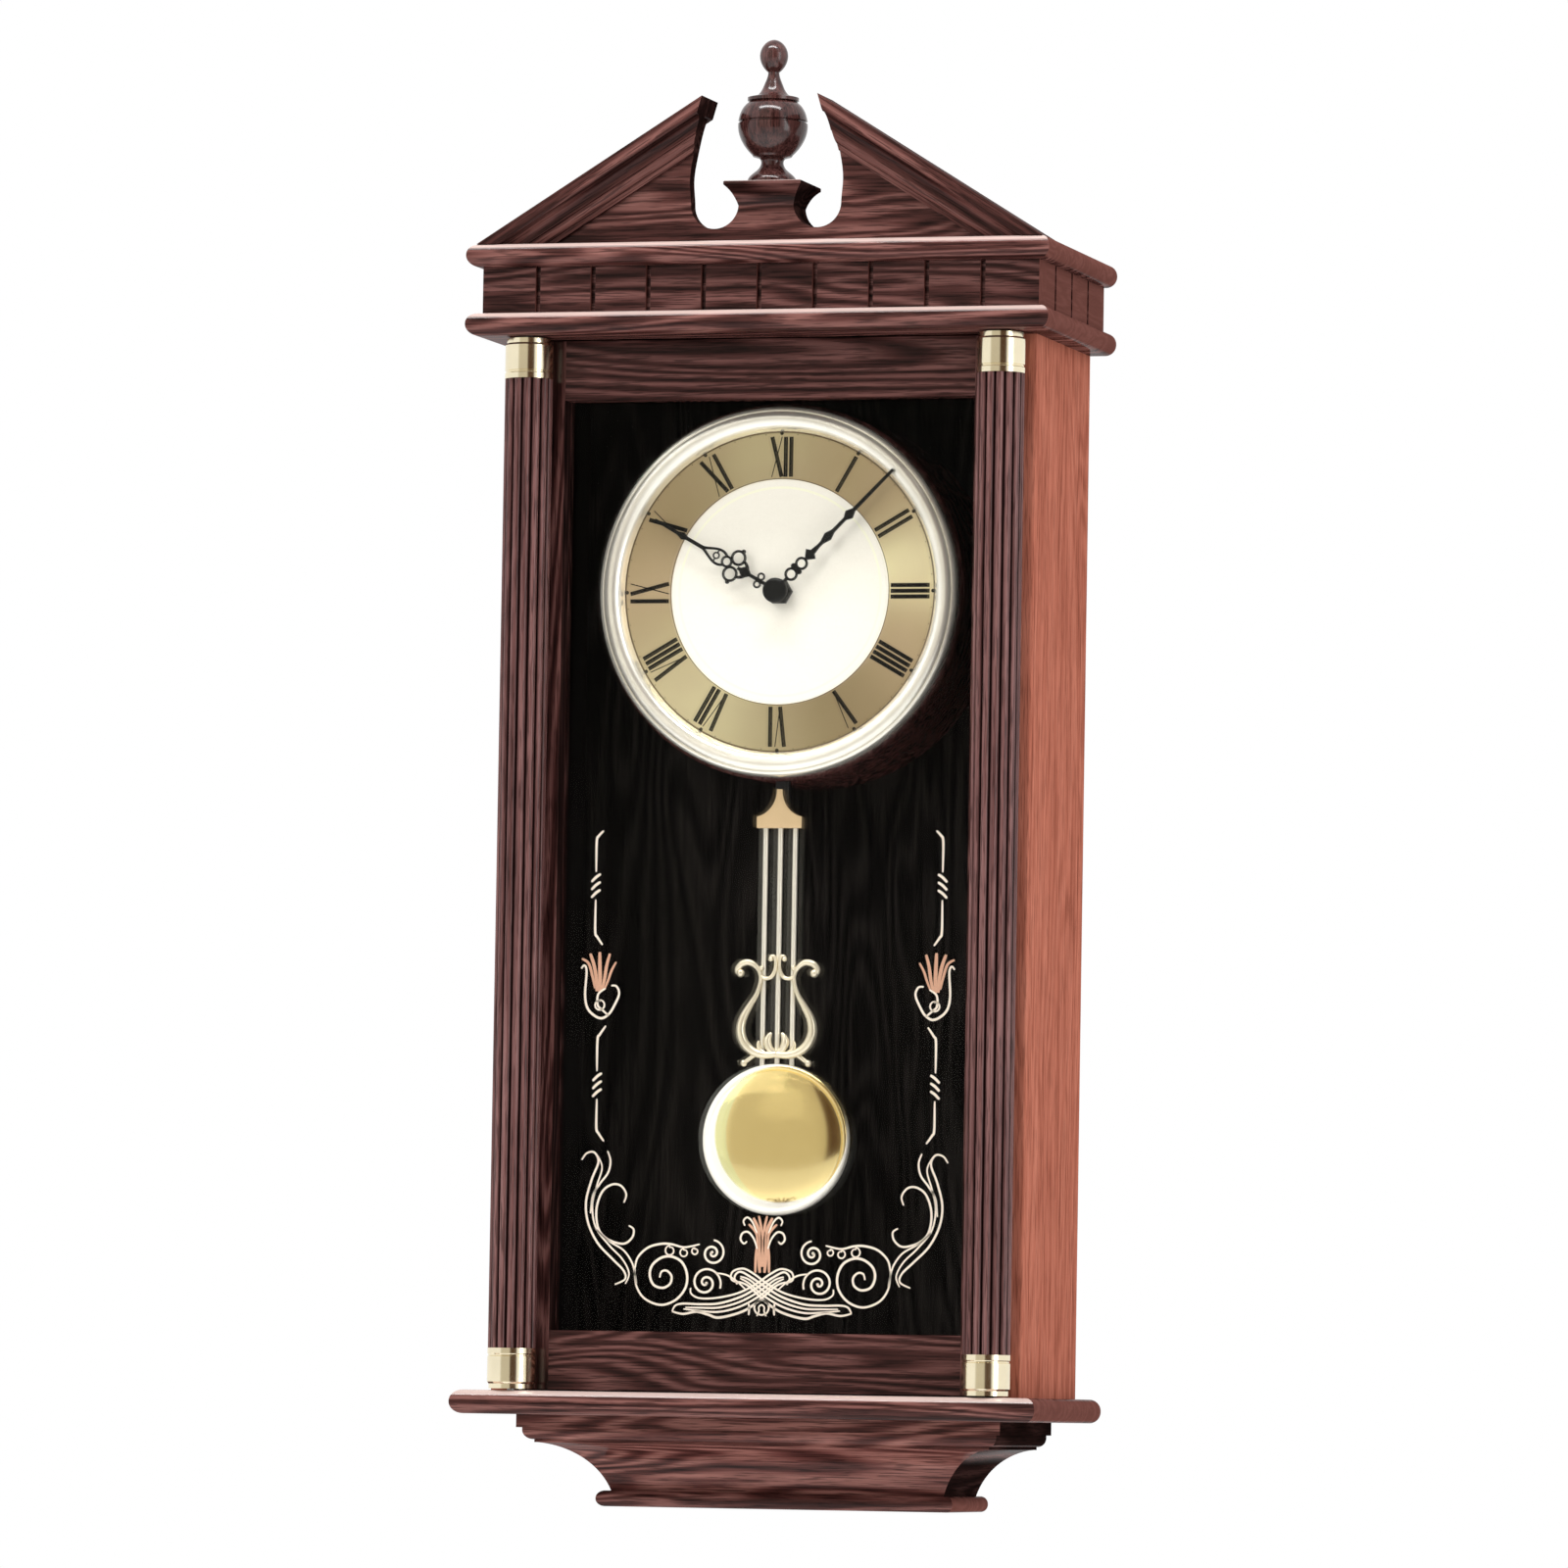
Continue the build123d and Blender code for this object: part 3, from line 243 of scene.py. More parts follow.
DARK = ((0.0085, 0.0032, 0.0028), (0.056, 0.0200, 0.0178), (0.170, 0.074, 0.066))
WARM = ((0.0130, 0.0046, 0.0040), (0.085, 0.0300, 0.0260), (0.240, 0.106, 0.092))
PALE = ((0.0200, 0.0072, 0.0064), (0.125, 0.0430, 0.0370), (0.330, 0.145, 0.122))
TURNED = ((0.0120, 0.0042, 0.0037), (0.048, 0.0170, 0.0152), (0.120, 0.050, 0.045))
REED = ((0.050, 0.0190, 0.0180), (0.125, 0.054, 0.051), (0.230, 0.115, 0.108))
SIDE = ((0.220, 0.062, 0.039), (0.395, 0.128, 0.084), (0.500, 0.182, 0.124))
# near black tones: painted shade inside the case, on the back panel and the inner faces of the sides
PAINTED_SHADE_BLACK = ((0.0030, 0.0027, 0.0025), (0.0075, 0.0066, 0.0060), (0.020, 0.017, 0.015))
# near black for the grooves of the reeds: painted shade
REED_GROOVE_SHADE = (0.0080, 0.0030, 0.0028)
# pale pink painted into the upward front edges as a highlight
PAINTED_EDGE_PINK = (0.80, 0.62, 0.57)
RINGS = 17.0  # growth rings over the full swing of the noise field
# near black for sideways faces: painted shade on reveals, returns and ends
SHADED_SIDES_BLACK = (0.0060, 0.0040, 0.0036)
BROWN_ENDS = (0.150, 0.058, 0.047)


def metal(name, colour, roughness, grain=None, plating=1.0):
    """Plated or polished metal with faint cloudy wear; grain gives a brushed direction by its stretch.

    plating under 1 stands for pale lacquer over the metal.
    """
    smudge = 0.06
    made = Shader(name, Metallic=plating)
    cloud = made.noise(made.coordinates(), 55.0, 3.0, 0.6)
    shade = made.mix(made.ramp(cloud, (0.3, 0.0), (0.7, 1.0)), tuple(0.9 * c for c in colour), colour)
    made.set("Base Color", shade)
    if grain:
        lines = made.noise(made.coordinates(grain), 1.0, 3.0, 0.6)
        made.set("Roughness", made.spread(lines, roughness - smudge, roughness + smudge))
        made.bump(lines, 0.25, 0.00004)
    else:
        fine = made.noise(made.coordinates(), 900.0, 2.0, 0.5)
        made.set("Roughness", made.spread(cloud, roughness - smudge / 2, roughness + smudge))
        made.bump(fine, 0.05, 0.00002)
    return made.material


def plastic(name, colour, roughness=0.5, grit=0.3):
    """Moulded plastic with a fine spark-eroded texture."""
    made = Shader(name, Specular_IOR_Level=0.3)
    fine = made.noise(made.coordinates(), 2600.0, 2.0, 0.5)
    broad = made.noise(made.coordinates(), 40.0, 2.0, 0.5)
    bright = tuple(min(1, 1.15 * c) for c in colour)
    made.set("Base Color", made.mix(broad, tuple(0.85 * c for c in colour), bright))
    made.set("Roughness", made.spread(fine, roughness - 0.08, roughness + 0.08))
    made.bump(fine, grit, 0.00006)
    return made.material


def give(material, *names):
    for name in names:
        data = nodes[name].data
        data.materials.clear()
        data.materials.append(material)


RAKE = math.radians(-31.96)  # slope of the pediment
MOULDED = {"ends": BROWN_ENDS, "edge": 1.0, "painted_edge_highlight": 0.6}
SQUARE = {"ends": BROWN_ENDS}
PLAIN = {"ends": SHADED_SIDES_BLACK}
RAKED = {"turn": RAKE, "fold": True, "ends": SHADED_SIDES_BLACK, "edge": 0.6, "painted_edge_highlight": 0.15}
OAK = (
    ("base_foot", "x", 3.1, WARM, SQUARE), ("base_cove_front", "x", 5.4, PALE, {}),
    ("base_cove_returns", "y", 7.9, DARK, PLAIN), ("base_shelf", "x", 9.3, WARM, MOULDED),
    ("lower_cornice", "x", 11.8, WARM, MOULDED), ("frieze_front", "x", 13.2, DARK, SQUARE),
    ("frieze_returns", "y", 15.7, DARK, SQUARE), ("upper_cornice", "x", 17.1, WARM, MOULDED),
    ("pediment_board", "x", 19.6, WARM, PLAIN),
    ("rake_mouldings", "x", 21.5, WARM, RAKED),
    ("finial_plinth", "x", 23.9, DARK, {"ends": SHADED_SIDES_BLACK, "edge": 0.8, "painted_edge_highlight": 0.4}),
    ("door_stile_left", "z", 27.4, DARK, PLAIN), ("door_stile_right", "z", 29.8, DARK, PLAIN),
    ("door_rails", "x", 31.3, DARK, PLAIN), ("glass_retainers", "z", 33.3, DARK, PLAIN),
)
for name, axis, seed, tones, more in OAK:
    give(wood("oak_" + name, axis, tones, seed, **more), name)
give(wood("oak_finial", "z", TURNED, 25.2, figured=0.14, coat=0.9, haze=0.16), "finial")
give(wood("oak_dial_housing", "z", TURNED, 39.2, coat=0.2, figured=0.2), "dial_housing")
for name, seed in (("column_left", 35.6), ("column_right", 37.7)):
    give(wood("oak_" + name, "z", REED, seed, figured=0.1, coat=0.5, reeded=True), name)
for name, seed, inner in (("side_panel_left", 41.0, 1), ("side_panel_right", 43.0, -1)):
    give(wood("oak_" + name, "z", SIDE, seed, pore=0.4, coat=0.0, figured=0.25, inner=inner), name)
give(wood("oak_hanging_rail", "x", SIDE, 45.0, pore=0.4, coat=0.0, gloss=0.55), "hanging_rail")
# the back panel is painted near black: painted shade inside the case
give(wood("painted_shade_back_panel", "z", PAINTED_SHADE_BLACK, 47.0, pore=0.5, coat=0.0, gloss=0.55), "back_panel")

zinc = metal("zinc", (0.55, 0.55, 0.56), 0.32, grain=(40, 900, 40))
give(zinc, "hanger_plate", "hanger_screws", "door_pivot_pins", "strike_plate", "minute_arbor")
give(plastic("pad_rubber", (0.03, 0.03, 0.03), 0.75, 0.5), "wall_bumpers")
black = plastic("black_plastic", (0.012, 0.012, 0.012), 0.48)
give(black, "catch_magnet", "dial_nut", "movement_frame", "movement_cover", "battery_cover", "setting_knob")
give(black, "volume_knob", "chime_selector", "test_button", "pendulum_lever", "step_motor", "chime_speaker")
give(black, "pendulum_bracket")
give(plastic("nylon", (0.75, 0.73, 0.66), 0.4, 0.1), "motion_wheel", "drive_pinion")
give(plastic("battery_wrap", (0.06, 0.11, 0.32), 0.25, 0.05), "batteries")
give(plastic("solder_mask", (0.02, 0.16, 0.06), 0.3, 0.1), "circuit_board")
give(metal("copper_wire", (0.62, 0.24, 0.10), 0.3, grain=(2500, 300, 2500)), "pendulum_coil")
give(metal("turned_brass", (0.78, 0.58, 0.28), 0.22), "center_wheel", "hour_wheel")
give(metal("cap_brass", (0.93, 0.83, 0.60), 0.13), "column_caps")
give(metal("bezel_gold", (0.98, 0.95, 0.84), 0.20, plating=0.72), "bezel")
give(metal("pendulum_gold", (0.97, 0.92, 0.78), 0.16, plating=0.5), "pendulum_rods")
give(metal("header_gold", (0.93, 0.70, 0.42), 0.22, plating=0.7), "pendulum_header")
cast = metal("cast_gold", (0.97, 0.88, 0.66), 0.18, plating=0.7)


def bob_face():
    """Lacquered gold dome with a painted reflection, a pale band and a near-white rim, wider to the lower
    left.
    """
    made = Shader("bob_gold")
    x, y, z = made.parts(made.coordinates(location=(-0.0032, 0, -height(BOB_HEIGHT) - 0.0026)))
    cloud = made.noise(made.coordinates(), 55.0, 3.0, 0.6)
    reach = made.math("ADD", made.length(x, z), made.spread(cloud, -0.0003, 0.0003))
    # painted reflection: a pale yellow band and a near-white, barely metallic rim, wider to the lower left
    painted_reflection_band = made.rise(made.math("ADD", reach, made.math("MULTIPLY", x, -0.35)), 0.0372, 0.0388)
    rim = made.rise(reach, 0.0338, 0.0352)
    gold = made.mix(cloud, (0.90, 0.71, 0.31), (0.96, 0.77, 0.35))
    made.set("Base Color", made.mix(rim, made.mix(painted_reflection_band, gold, (0.90, 0.86, 0.42)), (1.0, 0.98, 0.88)))
    made.set("Metallic", made.spread(rim, 1.0, 0.05))
    made.set("Roughness", made.spread(cloud, 0.09, 0.16))
    made.bump(cloud, 0.04, 0.00004)
    return made.material


give(bob_face(), "pendulum_bob")


def dial_paint():
    """Cream dial lacquer with a faint pale yellow ring at 53 mm from the middle."""
    made = Shader("dial_cream")
    x, y, z = made.parts(made.coordinates((1, 1, 1), (0, 0, -DIAL_Z)))
    radius = made.length(x, z)
    speck = made.noise(made.coordinates(), 900.0, 2.0, 0.5)
    paint = made.mix(speck, (0.82, 0.79, 0.69), (0.88, 0.85, 0.75))
    ring = made.math("COMPARE", radius, 0.0530, 0.0006)
    made.set("Base Color", made.mix(ring, paint, (0.88, 0.87, 0.68)))
    made.set("Roughness", made.spread(speck, 0.42, 0.5))
    made.bump(speck, 0.03, 0.00002)
    return made.material


def hand_enamel():
    made = Shader("hand_enamel", Specular_IOR_Level=0.15, Coat_Weight=0.05, Coat_Roughness=0.15)
    fine = made.noise(made.coordinates(), 700.0, 2.0, 0.5)
    made.set("Base Color", made.mix(fine, (0.004, 0.004, 0.004), (0.010, 0.010, 0.009)))
    made.set("Roughness", made.spread(fine, 0.3, 0.4))
    made.bump(fine, 0.1, 0.00003)
    return made.material


def brushed_ring():
    """Gold chapter ring with circular brushing; the bright lobes where it would catch the light are painted
    into its colour.
    """
    made = Shader("dial_gold", Metallic=1.0, Anisotropic=0.8)
    x, y, z = made.parts(made.coordinates((1, 1, 1), (0, 0, -DIAL_Z)))
    radius = made.length(x, z)
    rings = made.node("ShaderNodeTexNoise", noise_dimensions="1D")
    rings.inputs["Scale"].default_value = 2600.0
    rings.inputs["Detail"].default_value = 4.0
    made.link(radius, rings.inputs["W"])
    cloud = made.noise(made.coordinates(), 22.0, 2.0, 0.5)
    # painted highlights: bright lobes at fixed bearings laid into the colour
    painted_glint_lobes = []
    for degrees, sharpness in ((78, 22.0), (212, 5.0), (350, 9.0)):
        east, north = math.sin(math.radians(degrees)), math.cos(math.radians(degrees))
        along = made.math("ADD", made.math("MULTIPLY", x, east), made.math("MULTIPLY", z, north))
        along = made.math("MAXIMUM", made.math("DIVIDE", along, radius), 0.0)
        painted_glint_lobes.append(made.math("POWER", along, sharpness))
    faint = made.math("MULTIPLY", painted_glint_lobes[2], 0.45)
    painted_ring_highlight = made.math("MAXIMUM", made.math("MAXIMUM", painted_glint_lobes[0], painted_glint_lobes[1]), faint)
    tone = made.mix(painted_ring_highlight, (0.43, 0.335, 0.19), (0.95, 0.88, 0.54))
    tone = made.mix(made.spread(rings.outputs["Fac"], 0.0, 0.3), tone, (0.70, 0.56, 0.30))
    tone = made.mix(made.ramp(cloud, (0.35, 0.0), (0.7, 0.4)), tone, (0.56, 0.42, 0.28))
    # outer edge of the ring painted dark brown: painted shadow of the bezel
    made.set("Base Color", made.mix(made.rise(radius, 0.0804, 0.0814), tone, (0.13, 0.09, 0.05)))
    made.set("Roughness", made.spread(rings.outputs["Fac"], 0.30, 0.46))
    made.bump(rings.outputs["Fac"], 0.2, 0.00003)
    radial = made.node("ShaderNodeTangent", direction_type="RADIAL", axis="Y")
    made.link(radial.outputs[0], made.bsdf.inputs["Tangent"])
    return made.material


def clear_glass():
    """Thin clear pane: nearly nothing of it shows but the reflection, which grows towards its edges."""
    made = Shader("clear_glass", IOR=1.5, Transmission_Weight=1.0)
    haze = made.noise(made.coordinates(), 9.0, 2.0, 0.5)
    made.set("Base Color", made.mix(haze, (0.93, 0.96, 0.95), (0.98, 0.99, 0.99)))
    made.set("Roughness", made.spread(haze, 0.0, 0.03))
    rim = made.node("ShaderNodeFresnel")
    rim.inputs["IOR"].default_value = 1.5
    entering = made.math("SUBTRACT", 1.0, made.node("ShaderNodeNewGeometry").outputs["Backfacing"])
    made.set("Alpha", made.spread(made.math("MULTIPLY", rim.outputs[0], entering), 0.03, 1.0))
    return made.material


give(dial_paint(), "dial_plate")
give(hand_enamel(), "minute_hand", "hour_hand")
give(brushed_ring(), "chapter_ring")
give(clear_glass(), "door_glass")


# ---- flat print: numerals on the dial, gilt lines on the glass ---------------------------------------
def smooth(points, steps=8):
    """Catmull-Rom curve through points, each a tuple of any length."""
    fine = []
    for k in range(len(points) - 1):
        p = [points[max(k - 1, 0)], points[k], points[k + 1], points[min(k + 2, len(points) - 1)]]
        for step in range(steps):
            t = step / steps
            place = []
            for a, b, c, d in zip(*p):
                bend = (2 * a - 5 * b + 4 * c - d) * t * t + (3 * b - a - 3 * c + d) * t**3
                place.append(0.5 * (2 * b + (c - a) * t + bend))
            fine.append(tuple(place))
    fine.append(tuple(points[-1]))
    return fine


class Print:
    """Collects flat outlines on an upright plane and turns them into one thin mesh that faces the front."""

    def __init__(self, weight=1.0):
        self.points, self.faces, self.weight = [], [], weight

    def quad_strip(self, left, right):
        start = len(self.points)
        for a, b in zip(left, right):
            self.points += [a, b]
        for k in range(len(left) - 1):
            a = start + 2 * k
            self.faces.append((a, a + 1, a + 3, a + 2))

    def line(self, width, *points, taper=0.6):
        """A ribbon along smooth points that thins towards both ends."""
        fine = smooth(points)
        left, right = [], []
        for k, (x, z) in enumerate(fine):
            before, after = fine[max(k - 1, 0)], fine[min(k + 1, len(fine) - 1)]
            dx, dz = after[0] - before[0], after[1] - before[1]
            swell = taper + (1 - taper) * math.sin(math.pi * k / (len(fine) - 1)) ** 0.5
            scale = self.weight * width * swell / (2 * max(math.hypot(dx, dz), 1e-9))
            left.append((x - dz * scale, z + dx * scale))
            right.append((x + dz * scale, z - dx * scale))
        self.quad_strip(left, right)

    def spiral(self, width, x, z, start, turns, outer, inner=0.5, steps=40):
        """A spiral that runs in from its outer radius, from a start angle in degrees, to a small dot."""
        points = []
        for k in range(steps + 1):
            t = k / steps
            radius = inner + (outer - inner) * (1 - t) ** 1.15
            angle = math.radians(start) + 2 * math.pi * turns * t
            points.append((x + radius * math.cos(angle), z + radius * math.sin(angle)))
        self.line(width, *points, taper=0.75)
        self.disc(*points[-1], 0.75 * width)

    def straight(self, start, end, width):
        dx, dz = end[0] - start[0], end[1] - start[1]
        nx, nz = (width * part / math.hypot(dx, dz) / 2 for part in (-dz, dx))
        left = [(start[0] + nx, start[1] + nz), (end[0] + nx, end[1] + nz)]
        self.quad_strip(left, [(start[0] - nx, start[1] - nz), (end[0] - nx, end[1] - nz)])

    def disc(self, x, z, radius, sides=20):
        start = len(self.points)
        for k in range(sides):
            angle = 2 * math.pi * k / sides
            self.points.append((x + radius * math.cos(angle), z + radius * math.sin(angle)))
        self.faces.append(tuple(range(start, start + sides)))

    def arc(self, radius, width, steps=180):
        """Full circle about the middle."""
        inner, outer = [], []
        for k in range(steps + 1):
            angle = 2 * math.pi * k / steps
            inner.append(((radius - width / 2) * math.sin(angle), (radius - width / 2) * math.cos(angle)))
            outer.append(((radius + width / 2) * math.sin(angle), (radius + width / 2) * math.cos(angle)))
        self.quad_strip(inner, outer)

    def mesh(self, name, y, material, body, slot, origin_z, mirror=False):
        """Makes the piece at depth y mm, its heights measured from origin_z mm."""
        points, faces = [(x, y, z) for x, z in self.points], list(self.faces)
        if mirror:
            count = len(points)
            points += [(-x, y + 0.05, z) for x, z in self.points]
            faces += [tuple(i + count for i in face) for face in self.faces]
        data = bpy.data.meshes.new(name)
        data.from_pydata([(x * MM, y * MM, (z + origin_z) * MM) for x, y, z in points], [], faces)
        data.materials.append(material)
        made = bpy.data.objects.new(name, data)
        scene.collection.objects.link(made)
        solid = made.modifiers.new("thickness", "SOLIDIFY")
        solid.thickness = 0.00004
        solid.offset = 0
        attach(made, body)


def ink(name, colour, metallic=0.0, roughness=0.45):
    made = Shader(name, Metallic=metallic, Specular_IOR_Level=0.15)
    speck = made.noise(made.coordinates(), 1400.0, 2.0, 0.5)
    made.set("Base Color", made.mix(speck, tuple(0.8 * c for c in colour), colour))
    made.set("Roughness", made.spread(speck, roughness - 0.06, roughness + 0.06))
    return made.material


NUMERALS = ("XII", "I", "II", "III", "IIII", "V", "VI", "VII", "VIII", "IX", "X", "XI")
THICK, THIN, FOOT_R, HEAD_R = 2.1, 0.5, 58.4, 78.8
dial_print = Print()


def numeral(figure, text):
    """Strokes of a Roman numeral between two radii, as (x at the foot, x at the head, width)."""
    pitch = 2.9 if len(text) > 2 else 3.7
    strokes, x = [], 0.0
    for letter in text:
        if letter == "I":
            strokes.append((x, x, THICK))
            x += pitch
        elif letter == "V":
            strokes += [(x + 2.4, x, THICK), (x + 2.4, x + 4.8, THIN)]
            x += 4.8 + pitch * 0.7
        else:
            strokes += [(x + 5.2, x, THICK), (x, x + 5.2, THIN)]
            x += 5.2 + pitch * 0.7
    ends = [s[0] for s in strokes] + [s[1] for s in strokes]
    middle = (min(ends) + max(ends)) / 2
    angle = math.radians(30 * figure)
    along, across = (math.sin(angle), math.cos(angle)), (math.cos(angle), -math.sin(angle))
    for low, high, width in strokes:
        ends = []
        for offset, radius in ((low - middle, FOOT_R), (high - middle, HEAD_R)):
            ends.append(tuple(a * radius + b * offset for a, b in zip(along, across)))
        dial_print.straight(ends[0], ends[1], width)
    dial_print.disc(along[0] * 80.6, along[1] * 80.6, 0.95)


for figure, text in enumerate(NUMERALS):
    numeral(figure, text)
black_ink = ink("black_ink", (0.004, 0.0035, 0.003))
dial_print.mesh("dial_numerals", -85.62, black_ink, "case", "dial_gold", DIAL_Z / MM)

minute_track = Print()
for minute in range(60):
    if minute % 5:
        angle = math.radians(6 * minute)
        minute_track.disc(80.3 * math.sin(angle), 80.3 * math.cos(angle), 0.28, 8)
minute_track.arc(81.2, 0.35)
minute_track.arc(57.5, 0.35)
brown_ink = ink("brown_ink", (0.10, 0.065, 0.03))
minute_track.mesh("minute_track", -85.61, brown_ink, "case", "dial_gold", DIAL_Z / MM)

# The gilt border on the glass: X and height in mm, for the right-hand half.
gilt, copper = Print(1.15), Print(1.4)
for (x1, z1), (x2, z2), (x3, z3), (x4, z4), twist in (
    ((87.4, 342), (91, 337.5), (91, 290), (87, 284), (91.0, 308.0)),
    ((84.5, 243), (88.8, 236.6), (88.6, 190.5), (84.5, 184.5), (88.6, 207.0)),
):
    gilt.line(1.1, (x1, z1), (x2 - 1.2, z2 + 2), (x2, z2 - 1), (x2, twist[1] + 13), taper=0.5)
    gilt.line(1.1, (x3, twist[1] - 1), (x3, z3 + 1), (x3 - 1.2, z3 - 2), (x4, z4), taper=0.5)
    for k in range(3):
        z = twist[1] + 4 * k
        gilt.line(1.2, (twist[0] + 2.4, z), (twist[0], z + 2.4), (twist[0] - 2.4, z + 4), taper=0.7)

# tulip at the waist of the border
gilt.line(
    1.1, (98, 272), (96.4, 273.6), (95.2, 270.5), (95.8, 259), (94.6, 252.4), (91.3, 248.6), (87, 246.8),
    (83.2, 248.8), (80.6, 252.6), (77.8, 259), (79.2, 263), (82, 263.4),
)
gilt.spiral(0.8, 88, 253.5, 90, 1.0, 2.6, 2.3, 16)
gilt.line(1.0, (85, 262), (88.8, 259), (89, 253.5), (86.5, 251), (83.2, 248.2))
copper.line(1.0, (97.8, 277), (94.2, 274.6), (92, 268), (90.6, 262))
copper.line(1.3, (93.4, 279.6), (91.4, 274), (90, 267), (89.6, 260.5))
copper.line(1.4, (88.4, 280.4), (88.2, 273), (88, 266), (88.2, 260))
copper.line(1.2, (83, 279.6), (84.6, 273.6), (85.6, 267), (87, 260.6))
copper.line(0.9, (79.6, 275.4), (82, 271), (83.6, 266.4), (85.4, 262))

# corner leaf and scrolls
gilt.line(
    1.0, (96, 175), (93.4, 178.4), (89.4, 178.8), (87.2, 174), (90.6, 165), (93.4, 153.6), (92, 143),
    (86.8, 133), (78.8, 125), (73, 119.4), (72, 115), (77.4, 112.2),
)
gilt.line(
    0.8, (87.4, 177), (85.2, 171), (87.8, 162), (90, 152), (88, 141), (80.8, 132), (73.6, 125), (70, 118),
    (71.8, 112.6),
)
gilt.line(0.9, (82.4, 179.6), (80.8, 174.6), (82, 168.6), (86.2, 163), (89.8, 157), (90.9, 148))
gilt.line(
    1.0, (73.3, 153.6), (72.2, 158), (75.2, 162.2), (80, 162.6), (85, 158.8), (87.8, 150), (86.6, 140.4),
    (81.6, 135), (73.4, 132.8), (68.8, 135.8), (67.9, 140), (70.5, 142),
)
gilt.line(0.8, (88, 140), (80.8, 134), (73.2, 129.6), (68.6, 123.5), (66.8, 117.4), (66, 112.8))
gilt.line(
    1.1, (67, 120), (66, 111.6), (61.4, 105.2), (53, 102.2), (45.2, 104.8), (40.2, 110.8), (39.4, 117.6),
    (42.2, 123.8), (47.6, 126.6), (53, 126), (57.8, 122.2), (59, 117), (56.8, 112.2), (52, 110.8),
    (48.2, 113), (47.6, 116.8), (50, 119.4), (52.8, 119), (53.8, 116),
)
gilt.line(1.0, (67, 120), (65.5, 126), (60.2, 131), (53.2, 133), (47.6, 132.8), (41, 131.4), (33, 133))
for x, z, radius in ((48.6, 129.6, 2.6), (41.2, 128.6, 2.2), (35.4, 129.4, 1.8)):
    gilt.spiral(0.7, x, z, 90, -1.0, radius, radius * 0.7, 16)
gilt.spiral(1.0, 26.2, 128.6, 95, 1.9, 6.6)
gilt.spiral(1.0, 29.6, 113.6, 200, -2.0, 8.2)
gilt.line(
    0.9, (37.4, 111), (37, 108), (32.4, 105.8), (23, 106.2), (12, 108.8), (3, 113.4), (-4.6, 118.6),
    (-10, 121), (-15.4, 119.4), (-16, 115.4), (-11.6, 113.6),
)
gilt.line(0.8, (24, 118.6), (18.4, 117.6), (13, 114.4), (8.6, 110.6))

# strands that cross under the tree
gilt.line(
    1.1, (47, 99), (41.2, 97.8), (34, 99), (28, 97.6), (22, 96.2), (10, 99.4), (1.6, 104.8), (-7, 112.2),
    (-12.4, 114.4),
)
gilt.line(
    1.0, (47, 99), (45.2, 102), (41, 103), (32, 102.8), (22, 103.4), (10.5, 107), (1.7, 112), (-5.6, 116.6),
    (-11.4, 119.4), (-14.4, 116.8), (-13, 113),
)
for k in (1, 2):
    gilt.line(
        0.9, (42 - k, 99.5 + 0.8 * k), (32, 97.8 + 1.6 * k), (22, 96.9 + 2.2 * k), (11, 99.6 + 2.4 * k),
        (0.8, 105.2 + 2.4 * k), (-6.6, 111.6 + 1.9 * k), (-11.4, 115.2 + 0.9 * k),
    )
gilt.line(0.8, (0, 105.3), (2.7, 104.2), (3.8, 101.5), (2.7, 98.8), (0, 97.7), taper=1.0)
gilt.line(0.7, (0, 103), (1.4, 101.8), (1.4, 99.6), (2.4, 97.2), taper=1.0)
gilt.line(0.9, (6.7, 97.6), (6.5, 100.6), (6.8, 103.6))

# the small tree in the middle
copper.line(1.3, (1.2, 119), (1.8, 126), (1.2, 134), (2.2, 140.5), (5.0, 146.6))
copper.line(1.1, (3.6, 119), (3.4, 127), (2.6, 134), (3.4, 139), (7.4, 143.4))
copper.line(1.0, (0.4, 122), (0.3, 132), (0.8, 141), (2.2, 147.6))
gilt.line(
    0.9, (2.8, 131), (4.6, 136), (7.6, 139.4), (10.6, 138.8), (11.6, 135.8), (9.8, 133.6), (8.2, 134.8),
)
gilt.line(0.8, (3.0, 139), (5.6, 144.6), (8.2, 146.8), (10.2, 145), (9.4, 142.6))

gilt_ink = ink("gilt_ink", (0.97, 0.86, 0.73), 0.2, 0.38)
copper_ink = ink("copper_ink", (0.70, 0.40, 0.27), 0.2, 0.4)
gilt.mesh("glass_gilt", -96.95, gilt_ink, "door", "pendulum_gold", -HOOK, mirror=True)
copper.mesh("glass_copper", -96.93, copper_ink, "door", "pendulum_gold", -HOOK, mirror=True)


# ---- cast lyre -----------------------------------------------------------------------------------------
LYRE_Y, LYRE_GIRTH = -0.0779, 1.03


